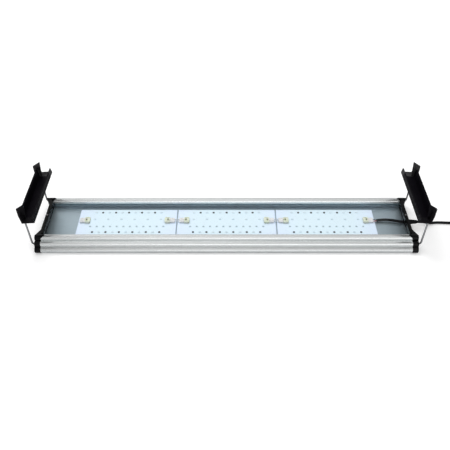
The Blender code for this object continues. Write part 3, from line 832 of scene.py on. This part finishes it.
def lead_route():
    """Points of the free lead, from the gland to its plug, in metres."""
    radius = sizes("lead").diameter / 2
    ground = radius + 0.05 * MM
    offsets = ((6.0, 0.0, 1.0), (14.0, 0.8, 0.83), (22.0, 3.6, 0.43), (30.0, 6.9, 0.10), (38.0, 8.8, 0.0),
               (48.0, 9.2, 0.0), (60.0, 8.6, 0.0), (72.0, 7.9, 0.03), (84.0, 7.5, 0.08))
    points = [(GLAND_END + TOUCH, 0.0, LEAD_HEIGHT)]
    points += [(GLAND_END + x * MM, y * MM, ground + h * (LEAD_HEIGHT - ground)) for x, y, h in offsets]
    coil_x, coil_y, coil_radius = GLAND_END + 106 * MM, -29.0 * MM, 36.5 * MM
    low = radius + 1.1 * MM
    layer, pitch = 2 * radius + 0.5 * MM, 2 * radius + 0.6 * MM
    end_y = coil_y + coil_radius
    points.append((coil_x - 12.3 * MM, end_y, low))
    points.append((coil_x - 5.0 * MM, end_y, low))
    turns, each = sizes("lead").turns, 24
    middle = turns / 2
    for i in range(turns * each + 1):
        turn = i / each
        away = coil_radius - pitch * (middle - abs(turn - middle))
        climb = min(1.0, max(0.0, 2 * (turn - middle) + 0.5))
        rise = low + layer * (3 * climb ** 2 - 2 * climb ** 3)
        angle = math.pi / 2 - 2 * math.pi * turn
        points.append((coil_x + away * math.cos(angle), coil_y + away * math.sin(angle), rise))
    high, plug = low + layer, 5.5 * MM
    start = coil_x + 5.3 * MM
    end = start + 23 * MM
    points += [(start, end_y, high), (start + 5 * MM, end_y, high), ((start + end) / 2, end_y, (high + plug) / 2),
               (end - 5 * MM, end_y, plug), (end, end_y, plug)]
    return points


class AQUA_OT_lead(Operator):
    """Add the free lead with its coil, tie and power plug"""
    bl_idname = "aqua.lead"
    bl_label = "Lead"

    def execute(self, context):
        lead = sizes("lead")
        points = lead_route()
        piece = tube("lead", points, lead.diameter / 2, 5)
        piece.data.materials.append(look("cable"))
        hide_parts("cord_run", "cord_coil", "cord_tail")
        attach(piece, "root")
        band = self.tie()
        body, barrel = self.plug(Vector(points[-1]))
        return {"FINISHED"}

    def tie(self):
        low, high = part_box("cord_tie")
        wall, bend = 0.7 * MM, 2.6 * MM
        x = low.x
        y0, y1, z0, z1 = low.y + wall / 2, high.y - wall / 2, low.z + wall / 2, high.z - wall / 2
        pen = Outline("tie", (x, y0 + bend, z0))
        for corner, start in (((y1 - bend, z0 + bend), (y1 - bend, z0)), ((y1 - bend, z1 - bend), (y1, z1 - bend)),
                              ((y0 + bend, z1 - bend), (y0 + bend, z1)), ((y0 + bend, z0 + bend), (y0, z0 + bend))):
            pen.to((x, *start))
            pen.round((x, *corner), math.pi / 2, X, 8)
        select_all()
        merge()
        piece = pen.run((high.x - low.x, 0, 0))
        apply(piece, "SOLIDIFY", thickness=wall, offset=0.0, use_even_offset=True)
        soften(piece, 0.15 * MM, 2)
        return finish(piece, "lead_tie", "black_tie", "tie", "cord_tie")

    def plug(self, start):
        neck, body, radius = 10.0, 18.0, 5.4
        profile = [(0.3, 0.0), (0.3, 2.9), (1.2, 3.1)]
        for i in range(5):
            at = 1.6 + 1.6 * i
            wide = 3.3 + 0.25 * i
            profile += [(at, wide), (at + 0.7, wide), (at + 0.8, wide - 0.5), (at + 1.4, wide - 0.4)]
        profile += [(neck, 4.5), (neck + 1.2, radius), (neck + body - 1.2, radius), (neck + body - 0.4, radius - 0.4),
                    (neck + body + 0.3, radius - 1.2), (neck + body + 0.3, 0.0)]
        piece = lathe("plug", beyond(0.0, *profile), start, X, 40)
        ribs = []
        for i in range(10):
            angle = 2 * math.pi * i / 10
            groove = block("groove", (0, 0, 0), mm(9, 1.1, 0.8), 0.2 * MM)
            groove.location = start + Vector((20 * MM, -math.sin(angle) * 5.15 * MM, math.cos(angle) * 5.15 * MM))
            groove.rotation_euler = (angle, 0, 0)
            ribs.append(groove)
        cut(piece, *ribs)
        body_piece = finish(piece, "plug_body", "black_moulding", "moulding", "dc_plug_body")
        low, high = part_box("dc_plug_barrel")
        length = high.x - low.x
        wall = [(0.0, 0.0), (0.0, 2.75), (length / MM - 0.3, 2.75), (length / MM, 2.5), (length / MM, 1.75),
                (length / MM - 0.6, 1.55), (1.5, 1.3), (1.5, 0.0)]
        barrel = lathe("barrel", beyond(0.0, *wall), (low.x, start.y, start.z), X, 32)
        barrel = finish(barrel, "plug_barrel", "nickel_plate", "nickel", "dc_plug_barrel")
        return body_piece, barrel


class AQUA_OT_housing(Operator):
    """Add the aluminium extrusion with its rails, tray, cover slots and cooling fins"""
    bl_idname = "aqua.housing"
    bl_label = "Housing"

    def execute(self, context):
        house = sizes("housing")
        x = -house.half

        def draw(pen):
            inner = [(house.tray, house.floor), (house.tray, house.slot_low), (house.slot, house.slot_low),
                     (house.slot, house.slot_high)]
            pen.to(*[(x, y, z) for y, z in inner])
            draw_rail(pen, x, house.round, house.slot_high, 0.3 * MM)
            edge, fin, tip = 43.5 * MM, 1.4 * MM, 1.0 * MM
            points = [(edge, 0.3 * MM), (edge, house.under)]
            for number in reversed(range(5)):
                middle = 8.0 * MM * (number + 0.5)
                points += [(middle + fin / 2, house.under), (middle + fin / 2, tip),
                           (middle - fin / 2, tip), (middle - fin / 2, house.under)]
            points.append((0, house.under))
            pen.to(*[(x, y, z) for y, z in points])

        piece = half_section("housing", x, 2 * house.half, draw, (x, 0, house.floor))
        soften(piece, house.soften, 2, 35)
        bores = []
        y, z = rail_rounds()[1]
        for side in (-1, 1):
            for end in (-1, 1):
                low, high = sorted((end * (house.half - 0.14), end * (house.half + 0.002)))
                bores.append(rod("bore", (0, side * y, z), X, 2.0 * MM, low, high, 24))
        cut(piece, *bores)
        finish(piece, "extrusion", "anodised_aluminium", "aluminium", "housing", angle=28)
        return {"FINISHED"}


class AQUA_OT_cover(Operator):
    """Give the clear cover its polished edges"""
    bl_idname = "aqua.cover"
    bl_label = "Cover"

    def execute(self, context):
        low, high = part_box("cover")
        middle = (low + high) / 2
        piece = block("cover", (middle.x, middle.y, low.z), high - low, 0.25 * MM)
        finish(piece, "clear_cover", "clear_acrylic", "acrylic", "cover")
        return {"FINISHED"}


class AQUA_OT_end_caps(Operator):
    """Add both end caps with their screws"""
    bl_idname = "aqua.end_caps"
    bl_label = "End caps"

    def execute(self, context):
        house, cap = sizes("housing"), sizes("cap")
        inner = house.half + TOUCH
        outer = inner + cap.thick
        top = house.height - 0.3 * MM

        def draw(pen):
            draw_rail(pen, inner, house.round + cap.proud, top, 0.0)
            pen.to((inner, 0, 0))

        piece = half_section("cap", inner, cap.thick, draw, (inner, 0, top))
        soften(piece, cap.soften, 3, 50)
        y, z = rail_rounds()[0]
        reach = cap.tongue + 1.0 * MM
        base = 18.6 * MM
        tongue = block("tongue", (inner + 1.0 * MM - reach / 2, 0, base),
                       (reach, 2 * (y - house.round - TOUCH), top - base), 0.4 * MM)
        weld(piece, tongue, self.lip(inner, -1), self.lip(inner, 1))
        face = inner + cap.web
        recess = [(face, -34.5 * MM), (outer + 1 * MM, -50.6 * MM), (outer + 4 * MM, -50.6 * MM),
                  (outer + 4 * MM, 50.6 * MM), (outer + 1 * MM, 50.6 * MM), (face, 34.5 * MM)]
        hollow = prism("hollow", [(x, y, -5 * MM) for x, y in recess], (0, 0, top + 10 * MM))
        soften(hollow, 1.2 * MM, 3, 20)
        cut(piece, hollow)
        holes = []
        places = rail_rounds()
        for side in (-1, 1):
            y, z = places[1]
            holes.append(rod("hole", (0, side * y, z), X, 2.0 * MM, inner - 0.001, outer + 0.001, 32))
            for y, z in (places[0], places[2]):
                profile = [(inner - 0.001, 0.0), (inner - 0.001, 1.7 * MM)]
                profile += beyond(outer, (-2.1, 1.7), (-2.1, 3.0), (-0.2, 3.0), (1.0, 4.2), (1.0, 0.0))
                holes.append(lathe("sink", profile, (0, side * y, z), X, 32))
        holes.append(rod("gland_hole", (0, 0, LEAD_HEIGHT), X, 3.8 * MM, inner - 0.001, face + 0.001, 32))
        cut(piece, *holes)
        finish_pair(piece, "end_cap_{}", "root", "black_end_cap", "cap", "{}_end_cap")
        self.screws(outer, places)
        self.cover_screws(inner, top)
        return {"FINISHED"}

    def lip(self, inner, side):
        """Thin pointed lip that lies on the crest of a rail."""
        y, z = rail_rounds()[0]
        y, radius = side * y, sizes("housing").round
        plan = [(1.0, -6.3), (1.0, 6.3), (0.0, 6.3), (-7.5, 0.5), (-7.5, -0.5), (0.0, -6.3)]
        lip = prism("lip", [(inner + u * MM, y + v * MM, z) for u, v in plan], (0, 0, 8 * MM))
        combine(lip, [rod("lip_top", (0, y, z), X, radius + 0.5 * MM, inner - 0.01, inner + 0.01, 64)], "INTERSECT")
        return cut(lip, rod("lip_seat", (0, y, z), X, radius + 0.04 * MM, inner - 0.01, inner, 64))

    def screws(self, outer, places):
        """Cross-head screws, modelled once at the origin along X and set in each sink."""
        seat = outer - 1.8 * MM
        tip = sizes("housing").half - 14.0 * MM
        profile = beyond(tip, (0.0, 0.0), (0.8, 0.8))
        for i in range(14):
            profile += beyond(tip + (1.0 + 0.9 * i) * MM, (0.0, 1.0), (0.35, 1.3), (0.5, 1.3))
        profile += beyond(tip, (14.0, 1.2)) + beyond(seat, (0.0, 1.2), (0.0, 2.6), (0.5, 2.7))
        profile += beyond(outer, (-0.7, 2.5), (-0.2, 1.7), (0.0, 0.0))
        screw = lathe("screw", profile, (0, 0, 0), X, 24)
        cut(screw, *self.cross(outer - 1.1 * MM, 2.6 * MM, X))
        spots = [(0, side * y, z) for side in (-1, 1) for y, z in (places[0], places[2])]
        for end, name in ((1, "right"), (-1, "left")):
            for number, spot in enumerate(spots, 1):
                copy = copy_at(screw, spot, (end, 1, 1))
                outward(copy)
                finish(copy, f"{name}_cap_bolt_{number}", "zinc_screw", "zinc", f"{name}_cap_screw_{number}")
        drop(screw)

    def cross(self, depth, length, axis):
        """Two crossed bars that cut the driver's recess."""
        bars = []
        for turn in (0.0, math.pi / 2):
            bar = block("bar", (0, 0, -length / 2), (2.4 * MM, 0.55 * MM, length), 0.1 * MM)
            if axis == X:
                bar.location = (depth + 1.2 * MM, 0, 0)
                bar.rotation_euler = (turn + math.pi / 4, 0, 0)
            else:
                bar.location = (0, 0, depth + 1.2 * MM)
                bar.rotation_euler = (0, math.pi / 2, turn)
            bars.append(bar)
        return bars

    def cover_screws(self, inner, top):
        head = top + TOUCH
        profile = beyond(top, (-4.5, 0.0), (-4.0, 0.9))
        profile += beyond(head, (0.0, 0.9), (0.0, 1.7), (0.45, 1.65), (0.9, 0.9), (0.9, 0.0))
        screw = lathe("pin", profile, (0, 0, 0), Z, 24)
        cut(screw, *self.cross(head + 0.3 * MM, 1.9 * MM, Z))
        for end, name in ((1, "right"), (-1, "left")):
            copy = copy_at(screw, (end * (inner - 0.4 * MM), 4.0 * MM, 0))
            finish(copy, f"{name}_cover_bolt", "zinc_screw", "zinc", f"{name}_cover_screw")
        drop(screw)


class AQUA_OT_brackets(Operator):
    """Add the two bent wires that slide in the rails"""
    bl_idname = "aqua.brackets"
    bl_label = "Bracket wires"

    def execute(self, context):
        house, cap, wire = sizes("housing"), sizes("cap"), sizes("bracket")
        outer = house.half + TOUCH + cap.thick
        y, z = rail_rounds()[1]
        bend = wire.bend
        start = outer - wire.inside
        deselect()
        bpy.ops.mesh.primitive_circle_add(vertices=24, radius=wire.radius, fill_type="NGON",
                                          location=(start, -y, z), rotation=(0, math.pi / 2, 0))
        piece = bpy.context.object
        piece.name = "wire"
        settle()
        mode("EDIT")
        select_all()
        top = wire.crossbar
        steps = 12
        quarter = math.pi / 2

        def turn(centre, angle, axis):
            bpy.ops.mesh.spin(steps=steps, angle=-angle, center=centre, axis=axis)

        pull((wire.inside, 0, 0))
        turn((outer, -y, z + bend), -quarter, Y)
        pull((0, 0, top - z - 2 * bend))
        turn((outer + bend, -y + bend, top - bend), -quarter, X)
        pull((0, 2 * (y - bend), 0))
        turn((outer + bend, y - bend, top - bend), -quarter, X)
        pull((0, 0, -(top - z - 2 * bend)))
        turn((outer, y, z + bend), quarter, Y)
        pull((-wire.inside, 0, 0))
        mode("OBJECT")
        outward(piece)
        soften(piece, 0.3 * MM, 2, 60)
        finish_pair(piece, "wire_{}", "{}_bracket", "steel_wire", "steel", "{}_bracket_wire", 50)
        return {"FINISHED"}


class AQUA_OT_feet(Operator):
    """Add the two feet, channels with ears that sit on the tank's rim"""
    bl_idname = "aqua.feet"
    bl_label = "Feet"

    def execute(self, context):
        foot, wire = sizes("foot"), sizes("bracket")
        outer = sizes("housing").half + TOUCH + sizes("cap").thick
        hinge = Vector((outer + wire.bend, 0, wire.crossbar))
        half = foot.length / 2
        under, web = foot.under / MM, foot.web / MM
        floor = under + web
        inner = -foot.inner / MM
        channel = [(inner, under), (1.1, under), (1.9, under + 19.2), (-0.9, under + 19.2), (-1.7, floor),
                   (inner + 3.8, floor), (inner + 3.3, under + 10.0), (inner + 1.0, under + 10.0)]
        piece = prism("foot", [(u * MM, -half, w * MM) for u, w in channel], (0, 2 * half, 0))
        soften(piece, foot.soften, 3, 30)
        for across in (-1, 1):
            middle = across * 58.0 * MM
            top = under + 33.8
            ear = [(-4.8, floor - 0.8), (-4.8, floor + 2.0), (-9.1, top), (6.0, top - 8.6),
                   (7.4, under + 8.2), (1.0, floor - 0.8)]
            lug = prism("ear", [(u * MM, middle - 1.5 * MM, w * MM) for u, w in ear], (0, 3.0 * MM, 0))
            soften(lug, 0.45 * MM, 3, 30)
            weld(piece, lug)
            weld(piece, self.clip(across * 30.0 * MM, under))
        piece.rotation_euler = (0, math.radians(4), 0)
        piece.location = hinge
        pick(piece)
        settle()
        finish_pair(piece, "rim_foot_{}", "{}_foot", "black_foot", "foot", "{}_foot", 35)
        return {"FINISHED"}

    def clip(self, middle, under):
        """Open ring under the web that snaps on the crossbar."""
        mouth = math.radians(35)
        start = -math.pi / 2 + mouth
        sweep = 2 * math.pi - 2 * mouth
        bore, rim = 2.0 * MM, 3.9 * MM
        y = middle - 7.0 * MM
        pen = Outline("clip", (bore * math.cos(start), y, bore * math.sin(start)))
        pen.to((rim * math.cos(start), y, rim * math.sin(start)))
        pen.round((0, y, 0), -sweep, Y, 24)
        stop = start + sweep
        pen.to((bore * math.cos(stop), y, bore * math.sin(stop)))
        pen.round((0, y, 0), sweep, Y, 24)
        clip = pen.closed().run((0, 14.0 * MM, 0))
        soften(clip, 0.25 * MM, 2, 50)
        return clip


def board_middles():
    board = sizes("board")
    pitch = board.length + board.space
    return (-pitch, 0.0, pitch)


class AQUA_OT_boards(Operator):
    """Add the three white boards with their lamps and chip resistors"""
    bl_idname = "aqua.boards"
    bl_label = "Boards"

    def execute(self, context):
        board = sizes("board")
        slab = block("board", (0, 0, BOARD_BASE), (board.length, board.width, board.thick), 0.15 * MM)
        pitch = board.pitch
        pale = self.row(6, pitch, 26.9) + self.row(6, pitch, 8.7) + self.row(5, pitch, -25.5)
        tinted = self.row(12, pitch / 2, -10.5)
        lamps = join([copies(self.lamp("pale_window"), pale, "lamps"),
                      copies(self.lamp("tinted_window"), tinted, "lamps")], "lamps")
        resistors = copies(self.chip(), self.row(5, pitch, 26.9) + self.row(6, pitch, -25.5), "resistors")
        for number, middle in enumerate(board_middles(), 1):
            for piece, name, tone, nodes in ((slab, "board", "board", (f"board_{number}",)),
                                             (lamps, "lamps", None, ()), (resistors, "resistors", None, ())):
                copy = copy_at(piece, (middle, 0, 0))
                finish(copy, f"{name}_of_{number}", "white_circuit_board", tone, *nodes)
        for piece in (slab, lamps, resistors):
            drop(piece)
        return {"FINISHED"}

    def row(self, count, pitch, y):
        return [(pitch * (i - (count - 1) / 2), y * MM, 0) for i in range(count)]

    def lamp(self, window):
        """One lamp: a pale package with a sunk window and a solder tab at each end."""
        piece = block("lamp", (0, 0, BOARD_TOP), mm(3.5, 2.8, 0.9))
        coated(piece, "lamp", window)
        pick(piece)
        mode("EDIT")
        choose_faces(piece, lambda centre, normal: normal.z > 0.9)
        bpy.ops.mesh.inset(thickness=0.45 * MM)
        pull((0, 0, -0.25 * MM))
        piece.active_material_index = 1
        bpy.ops.object.material_slot_assign()
        mode("OBJECT")
        tabs = [coated(block("tab", (side * 1.85 * MM, 0, BOARD_TOP), mm(0.4, 1.6, 0.2)), "tin")
                for side in (-1, 1)]
        return join([piece] + tabs, "lamp")

    def chip(self):
        """One chip resistor: a dark body between two tinned ends."""
        body = coated(block("chip", (0, 0, BOARD_TOP), mm(3.0, 3.2, 0.8), 0.1 * MM, 1), "chip")
        ends = [coated(block("end", (side * 1.65 * MM, 0, BOARD_TOP), mm(0.3, 3.2, 0.75), 0.1 * MM, 1),
                       "tin") for side in (-1, 1)]
        return join([body] + ends, "chip")


class AQUA_OT_connectors(Operator):
    """Add the sockets and plugs at the ends of the boards and the jumpers between them"""
    bl_idname = "aqua.connectors"
    bl_label = "Connectors"

    def execute(self, context):
        for number in (1, 2, 3):
            for name, end in (("left", -1), ("right", 1)):
                self.socket(f"board_{number}_{name}_socket", end)
                self.plug(f"board_{number}_{name}_plug", end)
        for number in (1, 2):
            for name in ("near", "far"):
                self.core(f"jumper_{number}_{name}_core")
        return {"FINISHED"}

    def socket(self, node, end):
        """Shrouded socket, open towards the end of its board, with a window and guide slots on top."""
        low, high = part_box(node)
        middle, lengths = (low + high) / 2, high - low
        piece = block("socket", (middle.x, middle.y, low.z), lengths, 0.25 * MM)
        mouth = block("mouth", (middle.x + end * 3.5 * MM, middle.y, low.z + 0.8 * MM),
                      (lengths.x - 1.0 * MM, lengths.y - 2.2 * MM, lengths.z - 1.6 * MM), 0.2 * MM)
        window = block("window", (middle.x + end * 1.6 * MM, middle.y, high.z - 1.4 * MM),
                       mm(2.6, 5.0, 3.0), 0.2 * MM)
        slots = [window]
        for side in (-1, 1):
            slots.append(block("slot", (middle.x + end * 0.6 * MM, middle.y + side * 4.8 * MM, high.z - 0.7 * MM),
                               mm(6.0, 1.1, 2.0), 0.1 * MM))
            slots.append(block("rebate", (middle.x - end * (lengths.x / 2), middle.y + side * 6.5 * MM, low.z - MM),
                               mm(2.4, 2.4, 8.0)))
        cut(piece, mouth, *slots)
        pins = []
        for side in (-1, 1):
            pins.append(block("pin", (middle.x - end * 1.2 * MM, middle.y + side * 2.5 * MM, low.z + 1.9 * MM),
                              mm(4.6, 0.64, 0.64), 0.1 * MM, 1))
        pin = join(pins, "pins")
        finish(pin, node + "_pins", "nickel_plate", "nickel")
        finish(piece, node + "_shroud", "cream_connector", "nylon", node)

    def plug(self, node, end):
        """Plug with a latch on top and a hole for each core in its outer face."""
        low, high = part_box(node)
        middle, lengths = (low + high) / 2, high - low
        piece = block("plug", (middle.x, middle.y, low.z), (lengths.x, lengths.y, lengths.z - 0.5 * MM), 0.3 * MM)
        latch = block("latch", (middle.x - end * 0.8 * MM, middle.y, high.z - 1.2 * MM),
                      mm(6.4, 3.4, 1.2), 0.3 * MM)
        weld(piece, latch)
        holes = []
        for side in (-1, 1):
            centre = (middle.x + end * lengths.x / 2, middle.y + side * 2.5 * MM, middle.z)
            holes.append(rod("hole", centre, X, 1.0 * MM, -1.5 * MM, 1.5 * MM, 20))
            holes.append(block("notch", (middle.x, middle.y + side * 4.6 * MM, high.z - 1.1 * MM),
                               mm(2.2, 1.0, 1.2), 0.1 * MM))
        cut(piece, *holes)
        finish(piece, node + "_housing", "cream_connector", "plug_nylon", node)

    def core(self, node):
        low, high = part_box(node)
        y = (low.y + high.y) / 2
        base = low.z + 0.7 * MM
        points = []
        for i in range(17):
            t = i / 8 - 1
            x = (low.x + high.x) / 2 + t * (high.x - low.x) / 2
            points.append((x, y, base + 0.5 * MM * math.cos(math.pi * t / 2) ** 2))
        strand(node + "_wire", points, 0.7 * MM, "plug_nylon", "cream_connector", node)


class AQUA_OT_inner_lead(Operator):
    """Add the sheathed lead inside the tray and its two cores"""
    bl_idname = "aqua.inner_lead"
    bl_label = "Inner lead"

    def execute(self, context):
        start = sizes("housing").half + TOUCH - 2.3 * MM
        board = sizes("board")
        end = board_middles()[2] + board.length / 2 + 3.75 * MM
        height, lifted = LEAD_HEIGHT, 13.6 * MM
        route = [(start, 0.0, height), (start - 3 * MM, 0.0, height), (start - 15 * MM, 2.6 * MM, lifted),
                 (start - 29 * MM, 5.0 * MM, lifted), (end + 6 * MM, 4.8 * MM, lifted - 0.3 * MM),
                 (end, 4.0 * MM, lifted - 0.6 * MM)]
        strand("tray_lead", route, 2.6 * MM, "cable", "black_cable", "inner_lead")
        low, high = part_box("board_3_right_plug")
        plug_end, core_z = high.x + TOUCH, (low.z + high.z) / 2
        for name, across, tone in (("near", -1, "red"), ("far", 1, "black")):
            route = [(end - 0.6 * MM, (4.0 + across * 1.0) * MM, lifted - 0.6 * MM),
                     (end - 3 * MM, (4.0 + across * 1.6) * MM, lifted - 0.3 * MM),
                     (plug_end + 2 * MM, (4.0 + across * 2.5) * MM, core_z),
                     (plug_end, (4.0 + across * 2.5) * MM, core_z)]
            strand(f"tray_{name}_wire", route, 0.7 * MM, tone, f"{tone}_core", f"inner_lead_{name}_core")
        return {"FINISHED"}


class AQUA_OT_glands(Operator):
    """Add the lead's strain relief and the plug that closes the other end cap"""
    bl_idname = "aqua.glands"
    bl_label = "Glands"

    def execute(self, context):
        inner = sizes("housing").half + TOUCH
        face = inner + sizes("cap").web + TOUCH
        profile = beyond(inner, (-2.0, 0.0), (-2.0, 2.7)) + beyond(inner - TOUCH, (0.0, 2.7), (0.0, 3.4))
        profile += beyond(face, (0.0, 3.4), (0.0, 5.0), (1.0, 5.0), (1.6, 4.4))
        count = 6
        start, stop = face + 2.2 * MM, GLAND_END - 0.8 * MM
        step = (stop - start) / count
        for i in range(count):
            wide = (4.9 - 1.2 * i / (count - 1)) * MM
            at = start + step * i
            profile += [(at, wide), (at + 0.62 * step, wide - 0.05 * MM), (at + 0.68 * step, wide - 0.65 * MM),
                        (at + 0.94 * step, wide - 0.70 * MM)]
        profile += [(stop, 3.2 * MM)] + beyond(GLAND_END, (-0.2, 3.1), (0.0, 2.9), (0.0, 0.0))
        piece = lathe("gland", profile, (0, 0, LEAD_HEIGHT), X, 40)
        finish(piece, "strain_relief", "black_moulding", "moulding", "cord_gland", angle=40)
        profile = beyond(TOUCH - inner, (0.0, 0.0), (0.0, 3.4))
        profile += beyond(-face, (0.0, 3.4), (0.0, 5.0), (-0.9, 5.0), (-1.4, 4.6), (-1.6, 4.0), (-1.6, 2.2),
                          (-1.1, 1.9), (-1.1, 0.0))
        piece = lathe("blank", profile, (0, 0, LEAD_HEIGHT), X, 40)
        finish(piece, "hole_plug", "black_moulding", "moulding", "blanking_plug", angle=40)
        return {"FINISHED"}


OPERATORS = (
    AQUA_OT_stage, AQUA_OT_lead, AQUA_OT_housing, AQUA_OT_cover, AQUA_OT_end_caps, AQUA_OT_brackets, AQUA_OT_feet,
    AQUA_OT_boards, AQUA_OT_connectors, AQUA_OT_inner_lead, AQUA_OT_glands,
)


class AQUA_PT_panel(Panel):
    """Sizes, colours and pieces of the aquarium light"""
    bl_idname = "AQUA_PT_panel"
    bl_label = "Aquarium light"
    bl_space_type = "VIEW_3D"
    bl_region_type = "UI"
    bl_category = "Light"

    def draw(self, context):
        for name, group in GROUPS.items():
            box = self.layout.box()
            box.label(text=group.__name__)
            for field in group.__annotations__:
                box.prop(getattr(context.scene, name), field)
        for operator in OPERATORS:
            self.layout.operator(operator.bl_idname)


def register():
    for group in GROUPS.values():
        bpy.utils.register_class(group)
    for name, group in GROUPS.items():
        setattr(bpy.types.Scene, name, PointerProperty(type=group))
    for kind in OPERATORS + (AQUA_PT_panel,):
        bpy.utils.register_class(kind)


def unregister():
    for kind in reversed(OPERATORS + (AQUA_PT_panel,)):
        bpy.utils.unregister_class(kind)
    for name, group in reversed(list(GROUPS.items())):
        delattr(bpy.types.Scene, name)
        bpy.utils.unregister_class(group)


def main():
    register()
    for operator in OPERATORS:
        getattr(bpy.ops.aqua, operator.bl_idname.partition(".")[2])()
    deselect()


if __name__ == "__main__":
    main()
